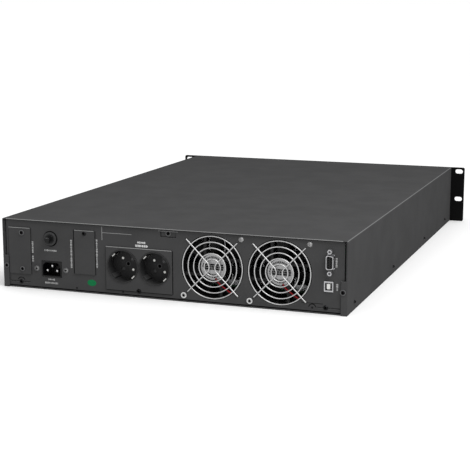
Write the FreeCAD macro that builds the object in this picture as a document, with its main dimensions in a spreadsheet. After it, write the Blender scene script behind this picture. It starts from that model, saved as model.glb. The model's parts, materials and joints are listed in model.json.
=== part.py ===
"""A two-unit rackmount uninterruptible power supply, built as separate named pieces.

Frame: +Z up, the base rests on Z = 0, -Y is the rack front (bezel and ears), +Y is the rear panel,
and +X is the right-hand side seen from the front. The origin is the middle of the footprint.
All sizes are in millimetres.
"""
import FreeCAD, Part
import math
import os
import re
import Sketcher
from types import SimpleNamespace
from FreeCAD import Placement, Rotation, Vector

DIMENSIONS = {
    # casing
    "casing_width": 440.0,
    "casing_height": 86.5,
    "casing_depth": 650.0,
    "sheet_thickness": 1.2,
    "cover_bend_radius": 2.0,
    "fit_gap": 0.3,
    "panel_recess": 2.0,
    "panel_width": 432.6,
    "panel_bottom": 1.6,
    "panel_top": 84.4,
    "flange_width": 6.0,
    "flange_height": 40.0,
    "tab_width": 19.0,
    "tab_drop": 9.0,
    "lip_height": 12.0,
    # front plate and its rack slots
    "rack_width": 482.6,
    "rack_spacing": 465.1,
    "rack_unit": 44.45,
    "rack_slot_width": 7.0,
    "rack_slot_length": 12.0,
    "rack_slot_top": 80.1,
    "plate_thickness": 2.5,
    "plate_corner": 2.5,
    # moulded front
    "bezel_depth": 32.0,
    "front_height": 80.0,
    "front_bottom": 1.5,
    "bezel_wall": 2.5,
    "bezel_width": 124.6,
    "front_gap": 0.8,
    "bezel_corner": 5.0,
    "vent_height": 3.0,
    "window_width": 60.0,
    "window_height": 32.0,
    "window_border": 3.0,
    "window_thickness": 1.5,
    "display_depth": 6.0,
    "power_key_radius": 7.0,
    "menu_key_radius": 4.2,
    "key_flange": 1.5,
    "key_proud": 1.0,
    "key_length": 22.0,
    "pocket_width": 110.0,
    "pocket_height": 56.0,
    "pocket_depth": 28.0,
    "handle_height": 14.0,
    "handle_thickness": 8.0,
    # battery module
    "tray_width": 307.0,
    "tray_length": 306.0,
    "tray_height": 60.0,
    "battery_length": 151.0,
    "battery_depth": 94.0,
    "battery_height": 65.0,
    "battery_lid": 6.0,
    "battery_pitch": 100.0,
    "runner_height": 2.0,
    "plug_width": 30.0,
    "plug_height": 14.0,
    "plug_length": 14.0,
    # fans
    "fan_size": 80.0,
    "fan_depth": 25.4,
    "fan_spacing": 71.5,
    "duct_radius": 38.2,
    "panel_hole_radius": 39.0,
    "hub_radius": 16.0,
    "stator_thickness": 3.0,
    "stator_recess": 1.7,
    "strut_width": 3.4,
    "bearing_radius": 4.0,
    "shaft_radius": 1.5,
    "shaft_clearance": 0.05,
    "blade_tip_radius": 36.6,
    "blade_chord": 17.0,
    "blade_thickness": 1.6,
    "guard_wire_radius": 0.7,
    "guard_ring_1": 10.1,
    "guard_ring_2": 16.6,
    "guard_ring_3": 23.3,
    "guard_ring_4": 30.3,
    "guard_ring_5": 37.3,
    "guard_weld_depth": 0.95,
    "guard_leg_reach": 31.8,
    "guard_short_reach": 30.8,
    "lead_radius": 0.75,
    # outlets
    "outlet_plate_width": 86.3,
    "outlet_plate_height": 52.6,
    "outlet_spacing": 41.2,
    "outlet_radius": 19.2,
    "outlet_rim_radius": 20.3,
    "outlet_depth": 17.5,
    "outlet_length": 24.0,
    "outlet_pin_radius": 2.6,
    "outlet_pin_spacing": 19.0,
    # inlet and circuit breaker
    "inlet_width": 27.2,
    "inlet_height": 19.8,
    "inlet_length": 24.0,
    "inlet_cavity_width": 24.4,
    "inlet_cavity_height": 16.8,
    "inlet_cavity_depth": 16.0,
    "inlet_screw_spacing": 40.0,
    "inlet_flange_width": 50.0,
    "blade_width": 2.0,
    "blade_height": 4.0,
    "breaker_nut_radius": 8.4,
    "breaker_nut_height": 2.6,
    "breaker_bush_radius": 5.5,
    "breaker_bush_reach": 4.5,
    "breaker_button_radius": 3.6,
    "breaker_body_width": 16.0,
    "breaker_body_height": 32.0,
    "breaker_body_length": 30.0,
    "rear_reach": 8.0,
    # communication ports
    "shell_wall": 0.8,
    "db9_height": 16.9,
    "db9_width": 8.6,
    "db9_reach": 5.5,
    "db9_slant": 0.12,
    "db9_corner": 2.2,
    "db9_screw_spacing": 25.0,
    "db9_flange_width": 12.5,
    "db9_flange_height": 30.8,
    "jack_radius": 2.9,
    "usb_width": 10.9,
    "usb_height": 12.1,
    "usb_length": 16.0,
    "usb_reach": 1.0,
    # small plates and screws
    "blank_width": 30.0,
    "blank_height": 58.0,
    "slot_cover_width": 27.4,
    "slot_cover_height": 54.0,
    "screw_head_radius": 2.9,
    "screw_head_height": 1.6,
    "screw_shank_radius": 1.5,
    "screw_hole_radius": 1.7,
    "screw_length": 5.0,
    # electronics
    "board_thickness": 1.6,
    "board_width": 275.0,
    "board_length": 240.0,
    "post_height": 10.0,
    "post_radius": 3.0,
    "sink_width": 150.0,
    "sink_length": 160.0,
    "sink_height": 58.0,
    "sink_base": 6.0,
    "fin_thickness": 1.8,
    "fin_count": 16.0,
    "capacitor_radius": 15.0,
    "capacitor_height": 45.0,
    "choke_radius": 17.0,
    "choke_wire": 8.0,
    "core_length": 56.0,
    "core_depth": 42.0,
    "core_height": 46.0,
    "core_leg": 9.0,
}

doc = FreeCAD.newDocument("rackmount_ups")
sheet = doc.addObject("Spreadsheet::Sheet", "Size")
for row, (alias, number) in enumerate(DIMENSIONS.items(), start=1):
    sheet.set(f"A{row}", alias)
    sheet.set(f"B{row}", str(number))
    sheet.setAlias(f"B{row}", alias)
doc.recompute()
size = SimpleNamespace(**{alias: float(sheet.get(alias)) for alias in DIMENSIONS})

# ---------------------------------------------------------------- reference planes and places
TOTAL_LENGTH = (
    size.rear_reach + size.casing_depth + size.plate_thickness + size.bezel_depth + size.key_proud
)
REAR_EDGE = TOTAL_LENGTH / 2 - size.rear_reach
PANEL_FACE = REAR_EDGE - size.panel_recess
PANEL_BACK = PANEL_FACE - size.sheet_thickness
PLATE_BACK = REAR_EDGE - size.casing_depth
PLATE_FACE = PLATE_BACK - size.plate_thickness
BEZEL_FACE = PLATE_FACE - size.bezel_depth
SIDE = size.casing_width / 2
FLOOR = size.sheet_thickness

FAN_CENTRES = [(-56.9, 43.8), (-139.3, 43.8)]
OUTLET_CENTRES = [(57.6, 36.9), (57.6 - size.outlet_spacing, 36.9)]
OUTLET_PLATE_CENTRE = (36.8, 33.5)
INLET_CENTRE = (154.0, 26.0)
BREAKER_CENTRE = (154.7, 64.0)
DB9_CENTRE = (-199.8, 60.9)
USB_CENTRE = (-198.0, 32.5)
BLANK_CENTRE = (197.0, 46.5)
SLOT_CENTRE = (108.2, 50.2)
TAB_CENTRE_X = -1.5

SIDE_SCREWS_FROM_REAR = [33.5, 235.5, 439.5, 602.5]
SIDE_SCREW_Z = 9.4
FLANGE_SCREW = (215.2, 27.2)
TAB_SCREW = (-1.5, 80.6)
LIP_SCREWS = [(196.5, 7.6), (36.8, 7.6), (-194.7, 7.6)]
LIP_SPANS = [(-14.0, 206.0), (-206.0, -181.0)]
BLANK_SCREWS = [(193.6, 69.4), (193.6, 24.1)]
SLOT_SCREW = (108.2, 73.7)
LIP_SLITS = [(198.0, 7.6, 28.0), (-198.5, 7.2, 29.0)]

BAY_CENTRE_X = 60.0
BAY_FLOOR = FLOOR + size.runner_height + size.fit_gap
BEZEL_CENTRE_X = -SIDE + size.bezel_width / 2
DRAWER_WIDTH = size.casing_width - size.bezel_width - size.front_gap
DRAWER_CENTRE_X = SIDE - DRAWER_WIDTH / 2
FRONT_CENTRE_Z = size.front_bottom + size.front_height / 2
WINDOW_CENTRE = (BEZEL_CENTRE_X, 54.0)
POWER_KEY = (-118.0, 20.0)
MENU_KEYS = {"key_up": (-190.0, 20.0), "key_down": (-171.0, 20.0), "key_enter": (-152.0, 20.0)}
BOARD_CENTRE = (-67.5, 170.0)
BOARD_BOTTOM = FLOOR + size.post_height
BOARD_TOP = BOARD_BOTTOM + size.board_thickness
SINK_CENTRE = (-98.0, 205.0)
FIRST_CAPACITOR = (14.0, 160.0)
CAPACITOR_PITCH = 33.0
CHOKE_CENTRES = [(-170.0, 82.0), (-116.0, 82.0)]
TRANSFORMER_CENTRE = (0.0, 90.0)
FILTER_CENTRE = (154.0, 262.0)
COMMS_CENTRE = (-213.4, 292.0, 46.0)

AXIS_TURN = {
    "X": Rotation(Vector(0, 1, 0), 90),
    "Y": Rotation(Vector(1, 0, 0), -90),
    "Z": Rotation(),
}
PLANE_ROLE = {"floor": "XY_Plane", "panel": "XZ_Plane"}
OVERSHOOT = 5.0

sub_parts = []


# ---------------------------------------------------------------- building blocks
def with_sheet(formula):
    """The formula with the sheet's name put before each alias."""
    return re.sub(r"[a-z][a-z_0-9]*", lambda found: "Size." + found.group(0), str(formula))


def bind(piece, target, formula):
    """Binds a property to a formula written with the sheet's aliases."""
    piece.setExpression(target, with_sheet(formula))


def block(name, sizes, centre):
    """A box with its X, Y and Z sizes given as formulas, about a centre."""
    piece = doc.addObject("Part::Box", name)
    for side, axis, formula, middle in zip(("Length", "Width", "Height"), "xyz", sizes, centre):
        bind(piece, side, formula)
        bind(piece, f"Placement.Base.{axis}", f"{middle:.4f} - ({formula}) / 2")
    return piece


def rod(name, radius, length, start, axis="Y"):
    """A cylinder that runs from its start point along +X, +Y or +Z."""
    piece = doc.addObject("Part::Cylinder", name)
    bind(piece, "Radius", radius)
    bind(piece, "Height", length)
    piece.Placement = Placement(Vector(*start), AXIS_TURN[axis])
    return piece


def fuse(name, pieces):
    """One solid from pieces that touch or overlap."""
    joined = doc.addObject("Part::MultiFuse", name)
    joined.Shapes = pieces
    joined.Refine = True
    return joined


def cut(name, base, tools):
    """The base with every tool taken away."""
    result = doc.addObject("Part::Cut", name)
    result.Base = base
    result.Tool = tools[0] if len(tools) == 1 else fuse(name + "_voids", tools)
    return result


def group(name, pieces):
    """Separate solids that share one node."""
    together = doc.addObject("Part::Compound", name)
    together.Links = pieces
    return together


def shape_piece(name, shape, place=None):
    """A piece whose outline no primitive gives, with its own placement."""
    piece = doc.addObject("Part::Feature", name)
    piece.Shape = shape
    piece.Placement = (place or Placement()).multiply(shape.Placement)
    return piece


def rounded(name, base, radius, wanted, kind="Part::Fillet"):
    """Rounds or bevels the edges that the test picks."""
    doc.recompute()
    piece = doc.addObject(kind, name)
    piece.Base = base
    edges = enumerate(base.Shape.Edges, start=1)
    piece.Edges = [(number, radius, radius) for number, edge in edges if wanted(edge)]
    return piece


def runs_along(edge, axis):
    """True for a straight edge parallel to the axis."""
    if not isinstance(edge.Curve, (Part.Line, Part.LineSegment)):
        return False
    direction = edge.Vertexes[-1].Point - edge.Vertexes[0].Point
    return abs(abs(direction.normalize().dot(axis)) - 1) < 1e-6


def upright(edge):
    return runs_along(edge, Vector(0, 0, 1))


def lengthwise(edge):
    return runs_along(edge, Vector(0, 1, 0))


def finished(piece, label):
    """Names a sub-part, and adds it to those that are written out."""
    piece.Label = label
    sub_parts.append(piece)
    return piece


def body(label, place=None):
    """A PartDesign body that is a sub-part."""
    piece = doc.addObject("PartDesign::Body", label)
    piece.Placement = place or Placement()
    return finished(piece, label)


def sketch_on(piece, plane, name, depth=0.0):
    """A sketch on one of the body's own origin planes, or a depth behind it. The panel plane faces -Y."""
    sketch = piece.newObject("Sketcher::SketchObject", name)
    support = next(f for f in piece.Origin.OriginFeatures if f.Role == PLANE_ROLE[plane])
    sketch.AttachmentSupport = [(support, "")]
    sketch.MapMode = "FlatFace"
    sketch.AttachmentOffset = Placement(Vector(0, 0, depth), Rotation())
    return sketch


def constrain(sketch, kind, elements, value, formula=None):
    """Adds a dimension to a sketch, bound to a formula when it has one."""
    index = sketch.addConstraint(Sketcher.Constraint(kind, *elements, value))
    if formula is not None:
        name = f"{kind}{index}"
        sketch.renameConstraint(index, name)
        bind(sketch, f"Constraints.{name}", formula)


def draw_rectangle(sketch, centre, sizes, formulas):
    """A rectangle about a centre, whose width and height follow two formulas."""
    (middle_x, middle_y), (width, height) = centre, sizes
    left, low = middle_x - width / 2, middle_y - height / 2
    corners = [(left, low), (left + width, low), (left + width, low + height), (left, low + height)]
    points = [Vector(*corner, 0) for corner in corners]
    first = sketch.GeometryCount
    for number in range(4):
        sketch.addGeometry(Part.LineSegment(points[number], points[(number + 1) % 4]), False)
    for number in range(4):
        follower = first + (number + 1) % 4
        sketch.addConstraint(Sketcher.Constraint("Coincident", first + number, 2, follower, 1))
    for number, kind in enumerate(("Horizontal", "Vertical", "Horizontal", "Vertical")):
        sketch.addConstraint(Sketcher.Constraint(kind, first + number))
    constrain(sketch, "DistanceX", (first, 1, first, 2), width, formulas[0])
    constrain(sketch, "DistanceY", (first + 1, 1, first + 1, 2), height, formulas[1])
    half_width, half_height = (f"({formula}) / 2" for formula in formulas)
    constrain(sketch, "DistanceX", (-1, 1, first, 1), left, f"{middle_x:.4f} - {half_width}")
    constrain(sketch, "DistanceY", (-1, 1, first, 1), low, f"{middle_y:.4f} - {half_height}")


def draw_circle(sketch, centre, radius, formula):
    """A circle whose radius follows a formula."""
    index = sketch.addGeometry(Part.Circle(Vector(*centre, 0), Vector(0, 0, 1), radius), False)
    constrain(sketch, "Radius", (index,), radius, formula)
    constrain(sketch, "DistanceX", (-1, 1, index, 3), centre[0])
    constrain(sketch, "DistanceY", (-1, 1, index, 3), centre[1])


def pad(piece, sketch, length, name):
    """Pads a sketch along its normal by a formula."""
    feature = piece.newObject("PartDesign::Pad", name)
    feature.Profile = sketch
    bind(feature, "Length", length)
    sketch.Visibility = False
    doc.recompute()
    return feature


def pocket(piece, sketch, length, name):
    """Cuts a sketch out of the body, on the side of the sketch where the body lies."""
    before = piece.Shape.Volume
    feature = piece.newObject("PartDesign::Pocket", name)
    feature.Profile = sketch
    bind(feature, "Length", length)
    feature.Reversed = True
    sketch.Visibility = False
    doc.recompute()
    if piece.Shape.Volume >= before:
        raise RuntimeError(f"{name} cuts nothing out of {piece.Label}")
    return feature


# ---------------------------------------------------------------- casing
def make_base_tray():
    """A folded tray: floor, two side walls, and a lip behind the rear panel's lower edge."""
    width = "casing_width - 2 * sheet_thickness - 0.2"
    inside = "casing_width - 4 * sheet_thickness - 0.2"
    length = PANEL_FACE - PLATE_BACK
    middle_y = (PANEL_FACE + PLATE_BACK) / 2
    top = size.panel_top - 0.4
    outer = block("base_outer", (width, length, top), (0, middle_y, top / 2))
    hollow = block(
        "base_hollow", (inside, length + 2 * OVERSHOOT, "casing_height"),
        (0, middle_y, size.casing_height / 2 + FLOOR),
    )
    lip_y = PANEL_BACK - size.sheet_thickness / 2
    lip_z = FLOOR + size.lip_height / 2
    lips = []
    for i, (low, high) in enumerate(LIP_SPANS):
        sizes = (high - low, "sheet_thickness", "lip_height")
        lips.append(block(f"base_lip_{i}", sizes, ((low + high) / 2, lip_y, lip_z)))
    folded = fuse("base_folded", [cut("base_channel", outer, [hollow])] + lips)
    holes = side_screw_holes("base") + [
        rod(f"base_lip_hole_{i}", "screw_hole_radius", 3 * OVERSHOOT, (x, PANEL_BACK - 9, z))
        for i, (x, z) in enumerate(LIP_SCREWS)
    ]
    holes += [outlet_clearance("base_outlet_clearance"), inlet_clearance("base_inlet_clearance")]
    finished(cut("base_tray_shape", folded, holes), "base_tray")


def outlet_clearance(name):
    """The space behind the outlet plate that the outlet bodies take."""
    sizes = ("outlet_plate_width - 2", 3 * OVERSHOOT, "outlet_rim_radius * 2 + 1")
    return block(name, sizes, (37.0, PANEL_BACK, OUTLET_CENTRES[0][1]))


def inlet_clearance(name):
    """The space that the inlet's flange takes behind the rear panel."""
    sizes = ("inlet_flange_width + 1", 3 * OVERSHOOT, "inlet_height + 5")
    return block(name, sizes, (INLET_CENTRE[0], PANEL_BACK - 8, INLET_CENTRE[1]))


def side_screw_holes(owner):
    """Holes through both side walls for the cover screws."""
    holes = []
    for i, distance in enumerate(SIDE_SCREWS_FROM_REAR):
        for side in (-1, 1):
            start = (side * SIDE - OVERSHOOT, REAR_EDGE - distance, SIDE_SCREW_Z)
            name = f"{owner}_side_hole_{i}_{side + 1}"
            holes.append(rod(name, "screw_hole_radius", 2 * OVERSHOOT, start, "X"))
    return holes


def make_top_cover():
    """A folded lid: top, two sides, short rear flanges, and a tab at the middle of the rear edge."""
    middle_y = REAR_EDGE - size.casing_depth / 2
    whole = ("casing_width", "casing_depth", "casing_height")
    outer = block("cover_outer", whole, (0, middle_y, size.casing_height / 2))
    bent = rounded("cover_bent", outer, size.cover_bend_radius, is_cover_bend)
    inner = block(
        "cover_inner",
        ("casing_width - 2 * sheet_thickness", size.casing_depth + 2 * OVERSHOOT, "casing_height"),
        (0, middle_y, size.casing_height / 2 - size.sheet_thickness),
    )
    pieces = [cut("cover_channel", bent, [inner])]
    for side in (-1, 1):
        centre = (
            side * (SIDE - size.sheet_thickness - size.flange_width / 2),
            REAR_EDGE - size.sheet_thickness / 2,
            size.flange_height / 2,
        )
        sizes = ("flange_width", "sheet_thickness", "flange_height")
        pieces.append(block(f"cover_flange_{side + 1}", sizes, centre))
    top = size.casing_height - size.sheet_thickness
    tab_y = PANEL_BACK - size.sheet_thickness / 2
    tab_centre = (TAB_CENTRE_X, tab_y, top - size.tab_drop / 2)
    pieces.append(block("cover_tab", ("tab_width", "sheet_thickness", "tab_drop"), tab_centre))
    holes = side_screw_holes("cover")
    flange_x, flange_z = FLANGE_SCREW
    hole_length = 2 * OVERSHOOT
    spots = [(-flange_x, flange_z), (flange_x, flange_z)]
    for i, (x, z) in enumerate(spots):
        start = (x, REAR_EDGE - 2 * size.sheet_thickness, z)
        holes.append(rod(f"cover_flange_hole_{i}", "screw_hole_radius", hole_length, start))
    tab_start = (TAB_SCREW[0], PANEL_BACK - OVERSHOOT, TAB_SCREW[1])
    holes.append(rod("cover_tab_hole", "screw_hole_radius", hole_length, tab_start))
    folded = fuse("cover_folded", pieces)
    finished(cut("top_cover_shape", folded, holes), "top_cover")


def is_cover_bend(edge):
    """The two long upper edges of the lid."""
    return lengthwise(edge) and edge.CenterOfMass.z > size.casing_height - 1


def make_rear_panel():
    """The rear sheet with its cut-outs for fans, sockets, ports, screws and pressed slits."""
    middle_z = (size.panel_top + size.panel_bottom) / 2
    face = block(
        "panel_sheet", ("panel_width", "sheet_thickness", "panel_top - panel_bottom"),
        (0, (PANEL_FACE + PANEL_BACK) / 2, middle_z),
    )
    soft = rounded("panel_rounded", face, size.sheet_thickness * 0.6, is_panel_side)
    deep = 2 * OVERSHOOT
    voids = []

    def hole(name, radius, x, z):
        voids.append(rod(f"panel_{name}", radius, deep, (x, PANEL_BACK - OVERSHOOT, z)))

    def window(name, width, height, x, z):
        voids.append(block(f"panel_{name}", (width, deep, height), (x, PANEL_BACK, z)))

    for i, (x, z) in enumerate(FAN_CENTRES):
        hole(f"fan_hole_{i}", "panel_hole_radius", x, z)
        for j, (sign_x, sign_z) in enumerate(((1, 1), (-1, 1), (-1, -1), (1, -1))):
            reach = size.guard_leg_reach if sign_x == sign_z else size.guard_short_reach
            hole(f"leg_hole_{i}_{j}", "guard_wire_radius + 0.4", x + sign_x * reach, z + sign_z * reach)
        for j, sign in enumerate((1, -1)):
            offset = size.fan_spacing / 2
            hole(f"fan_screw_{i}_{j}", "screw_hole_radius", x - sign * offset, z + sign * offset)
    window("outlet_window", "outlet_plate_width - 4", "outlet_rim_radius * 2 + 1", 37.0, 36.9)
    window("inlet_window", "inlet_width + 0.4", "inlet_height + 0.4", *INLET_CENTRE)
    hole("breaker_hole", "breaker_bush_radius + 0.2", *BREAKER_CENTRE)
    window("slot_window", "slot_cover_width - 4", "slot_cover_height - 13", SLOT_CENTRE[0], 46.0)
    window("blank_window", "blank_width - 6", "blank_height - 24", *BLANK_CENTRE)
    window("db9_window", "db9_width + 0.6", "db9_height + 0.6", *DB9_CENTRE)
    for i, sign in enumerate((1, -1)):
        jack_z = DB9_CENTRE[1] + sign * size.db9_screw_spacing / 2
        hole(f"jack_hole_{i}", "jack_radius - 0.9", DB9_CENTRE[0], jack_z)
        inlet_x = INLET_CENTRE[0] + sign * size.inlet_screw_spacing / 2
        hole(f"inlet_hole_{i}", "screw_hole_radius", inlet_x, INLET_CENTRE[1])
    window("usb_window", "usb_width + 0.6", "usb_height + 0.6", *USB_CENTRE)
    for i, (x, z) in enumerate(LIP_SCREWS + BLANK_SCREWS + [SLOT_SCREW]):
        hole(f"screw_hole_{i}", "screw_hole_radius", x, z)
    for i, (x, z, length) in enumerate(LIP_SLITS):
        window(f"slit_{i}", length, 0.9, x, z)
    for i, sign in enumerate((1, -1)):
        hole(f"flange_hole_{i}", "screw_hole_radius", sign * FLANGE_SCREW[0], FLANGE_SCREW[1])
    window("tab_notch", "tab_width + 1", "tab_drop + 1", TAB_CENTRE_X, size.panel_top - 3.6)
    finished(cut("rear_panel_shape", soft, voids), "rear_panel")


def is_panel_side(edge):
    """The outer upright edges of the rear sheet."""
    return upright(edge) and edge.CenterOfMass.y > PANEL_FACE - 0.1


def make_front_plate():
    """The steel front plate, whose ends are the rack ears, with four obround slots."""
    width, height = size.rack_width, size.casing_height
    centre = (0, (PLATE_FACE + PLATE_BACK) / 2, height / 2)
    sheet_block = block("plate_sheet", ("rack_width", "plate_thickness", "casing_height"), centre)
    plate = rounded("plate_rounded", sheet_block, size.plate_corner, lambda e: is_plate_corner(e, width))
    start_y = PLATE_FACE - OVERSHOOT
    deep = 3 * OVERSHOOT
    voids = []
    for side in (-1, 1):
        for level in range(2):
            x = side * size.rack_spacing / 2
            z = size.rack_slot_top - level * size.rack_unit
            name = f"slot_{side + 1}_{level}"
            straight = "rack_slot_length - rack_slot_width"
            voids.append(block(name, (straight, deep, "rack_slot_width"), (x, centre[1], z)))
            for end in (-1, 1):
                end_x = x + end * (size.rack_slot_length - size.rack_slot_width) / 2
                place = (end_x, start_y, z)
                voids.append(rod(f"{name}_{end + 1}", "rack_slot_width / 2", deep, place))
    bay_centre = (BAY_CENTRE_X, centre[1], BAY_FLOOR + 35)
    voids.append(block("bay_opening", ("tray_width + 2", deep, 71.0), bay_centre))
    display_centre = (WINDOW_CENTRE[0], centre[1], 46.0)
    voids.append(block("display_opening", ("window_width", deep, 50.0), display_centre))
    finished(cut("front_plate_shape", plate, voids), "front_plate")


def is_plate_corner(edge, width):
    """The four corner edges of the front plate."""
    return lengthwise(edge) and abs(edge.CenterOfMass.x) > width / 2 - 1


def make_bay_divider():
    """The upright sheet between the battery bay and the control space."""
    x = BAY_CENTRE_X - size.tray_width / 2 - 3.0
    length = size.tray_length
    centre = (x, PLATE_BACK + 1 + length / 2, FLOOR + 40)
    wall = block("divider_wall", ("sheet_thickness", "tray_length", 80.0), centre)
    foot_centre = (x - 7, centre[1], FLOOR + size.sheet_thickness / 2)
    foot = block("divider_foot", (14.0, "tray_length", "sheet_thickness"), foot_centre)
    finished(fuse("bay_divider_shape", [wall, foot]), "bay_divider")


def make_tray_runners():
    """Two strips on the floor that the battery tray slides on."""
    runners = []
    for side in (-1, 1):
        centre = (
            BAY_CENTRE_X + side * (size.tray_width / 2 - 12),
            PLATE_BACK + 2 + size.tray_length / 2,
            FLOOR + size.runner_height / 2,
        )
        sizes = (16.0, "tray_length", "runner_height")
        runners.append(block(f"runner_{side + 1}", sizes, centre))
    finished(group("tray_runner_pair", runners), "tray_runners")


# ---------------------------------------------------------------- moulded front and controls
def moulded_shell(name, width_formula, centre_x, back_gap):
    """A front moulding: a rounded block, hollow from behind, that ends a gap before the plate."""
    middle_y = (BEZEL_FACE + PLATE_FACE - back_gap) / 2
    sizes = (width_formula, f"bezel_depth - {back_gap}", "front_height")
    outer = block(name + "_outer", sizes, (centre_x, middle_y, FRONT_CENTRE_Z))

    def front_edge(edge):
        at_front = edge.BoundBox.YMax < BEZEL_FACE + 0.1
        return at_front and edge.Length > size.plate_corner

    soft = rounded(name + "_soft", outer, size.bezel_corner, front_edge)
    inside = (f"{width_formula} - 2 * bezel_wall", "bezel_depth", "front_height - 2 * bezel_wall")
    hollow_y = middle_y + size.bezel_wall
    hollow = block(name + "_hollow", inside, (centre_x, hollow_y, FRONT_CENTRE_Z))
    return cut(name + "_shell", soft, [hollow])


def vent_slots(name, centre_x, length, levels):
    """A column of long air slots through a front wall."""
    middle_y = BEZEL_FACE + size.bezel_wall / 2
    slots = []
    for i, z in enumerate(levels):
        sizes = (length, 2 * OVERSHOOT, "vent_height")
        slots.append(block(f"{name}_{i}", sizes, (centre_x, middle_y, z)))
    return slots


def make_bezel():
    """The fixed front moulding with the display window, the key holes and air slots."""
    shell = moulded_shell("bezel", "bezel_width", BEZEL_CENTRE_X, 0.0)
    start_y = BEZEL_FACE - OVERSHOOT
    window_centre = (WINDOW_CENTRE[0], BEZEL_FACE, WINDOW_CENTRE[1])
    voids = [block("bezel_window", ("window_width", 4 * OVERSHOOT, "window_height"), window_centre)]
    x, z = POWER_KEY
    voids.append(rod("bezel_power_hole", "power_key_radius + fit_gap", 3 * OVERSHOOT, (x, start_y, z)))
    for label, (x, z) in MENU_KEYS.items():
        place = (x, start_y, z)
        voids.append(rod(f"bezel_{label}", "menu_key_radius + fit_gap", 3 * OVERSHOOT, place))
    voids += vent_slots("bezel_vent", BEZEL_CENTRE_X, 100.0, [74.5])
    finished(cut("bezel_shape", shell, voids), "bezel")


def make_display():
    """The clear window, the display behind it, and the board that carries display and keys."""
    x, z = WINDOW_CENTRE
    window_y = BEZEL_FACE + size.bezel_wall + size.window_thickness / 2
    sizes = ("window_width + 2 * window_border", "window_thickness", "window_height + 2 * window_border")
    finished(block("lcd_window_shape", sizes, (x, window_y, z)), "lcd_window")
    panel_y = window_y + (size.window_thickness + size.display_depth) / 2
    sizes = ("window_width + 4", "display_depth", "window_height + 4")
    finished(block("lcd_panel_shape", sizes, (x, panel_y, z)), "lcd_panel")
    board_y = BEZEL_FACE + size.key_length + 1.4 + size.board_thickness / 2
    board = block("control_board_sheet", (112.0, "board_thickness", 66.0), (BEZEL_CENTRE_X, board_y, 44.0))
    rest_y = (panel_y + size.display_depth / 2 + board_y - size.board_thickness / 2) / 2
    rest_depth = board_y - size.board_thickness / 2 - panel_y - size.display_depth / 2
    rest = block("display_rest", (30.0, rest_depth, 20.0), (x, rest_y, z))
    finished(fuse("control_board_shape", [board, rest]), "control_board")


def make_key(label, place, radius):
    """A push key: a cap through the bezel, and a flange that holds it in from behind."""
    x, z = place
    start_y = BEZEL_FACE - size.key_proud
    cap = rod(f"{label}_cap", radius, "key_length", (x, start_y, z))
    dome = rounded(f"{label}_dome", cap, 0.8, lambda edge: edge.CenterOfMass.y < start_y + 0.1)
    flange_y = BEZEL_FACE + size.bezel_wall + size.fit_gap
    flange = rod(f"{label}_flange", f"{radius} + key_flange", 1.2, (x, flange_y, z))
    finished(fuse(f"{label}_shape", [dome, flange]), label)


# ---------------------------------------------------------------- battery module
def make_battery_tray():
    """The folded drawer that carries the batteries, open at the front edge and on top."""
    width, length = size.tray_width, size.tray_length
    front_y = PLATE_FACE - size.fit_gap
    centre = (BAY_CENTRE_X, front_y + length / 2, BAY_FLOOR + size.tray_height / 2)
    outer = block("tray_outer", ("tray_width", "tray_length", "tray_height"), centre)
    hollow = block(
        "tray_hollow",
        ("tray_width - 2 * sheet_thickness", "tray_length - 2 * sheet_thickness", "tray_height"),
        (centre[0], centre[1], centre[2] + size.sheet_thickness),
    )
    tray = rounded("tray_bent", cut("tray_open", outer, [hollow]), 1.0, is_outer_upright(width, centre[0]))
    finished(tray, "battery_tray")


def is_outer_upright(width, centre_x):
    """A test for the upright outside corners of a box."""
    return lambda edge: upright(edge) and abs(abs(edge.CenterOfMass.x - centre_x) - width / 2) < 0.1


def make_batteries():
    """Six sealed lead-acid blocks lying on their sides, two across and three deep."""
    floor_z = BAY_FLOOR + size.sheet_thickness
    first_y = PLATE_FACE + size.sheet_thickness + 1.0
    links = []
    number = 0
    for row in range(3):
        for side in (-1, 1):
            number += 1
            x = BAY_CENTRE_X + side * (size.battery_length / 2 + 0.4)
            back = first_y + row * size.battery_pitch
            case_y = back + (size.battery_depth - size.battery_lid) / 2
            z = floor_z + size.battery_height / 2
            sizes = ("battery_length", "battery_depth - battery_lid", "battery_height")
            case = block(f"battery_{number}_case", sizes, (x, case_y, z))
            lid_y = back + size.battery_depth - size.battery_lid / 2
            sizes = ("battery_length - 3", "battery_lid", "battery_height - 3")
            lid = block(f"battery_{number}_lid", sizes, (x, lid_y, z))
            finished(fuse(f"battery_{number}_shape", [case, lid]), f"battery_{number}")
            for end in (-1, 1):
                tab_y = back + size.battery_depth + 2
                tab_place = (x + end * 55, tab_y, z)
                links.append(block(f"terminal_{number}_{end + 1}", (6.3, 4.0, 8.0), tab_place))
        bar_y = first_y + row * size.battery_pitch + size.battery_depth + 3
        bar_place = (BAY_CENTRE_X, bar_y, floor_z + size.battery_height / 2)
        links.append(block(f"link_bar_{row}", (34.0, 1.5, 6.0), bar_place))
    finished(group("battery_link_set", links), "battery_links")


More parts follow.
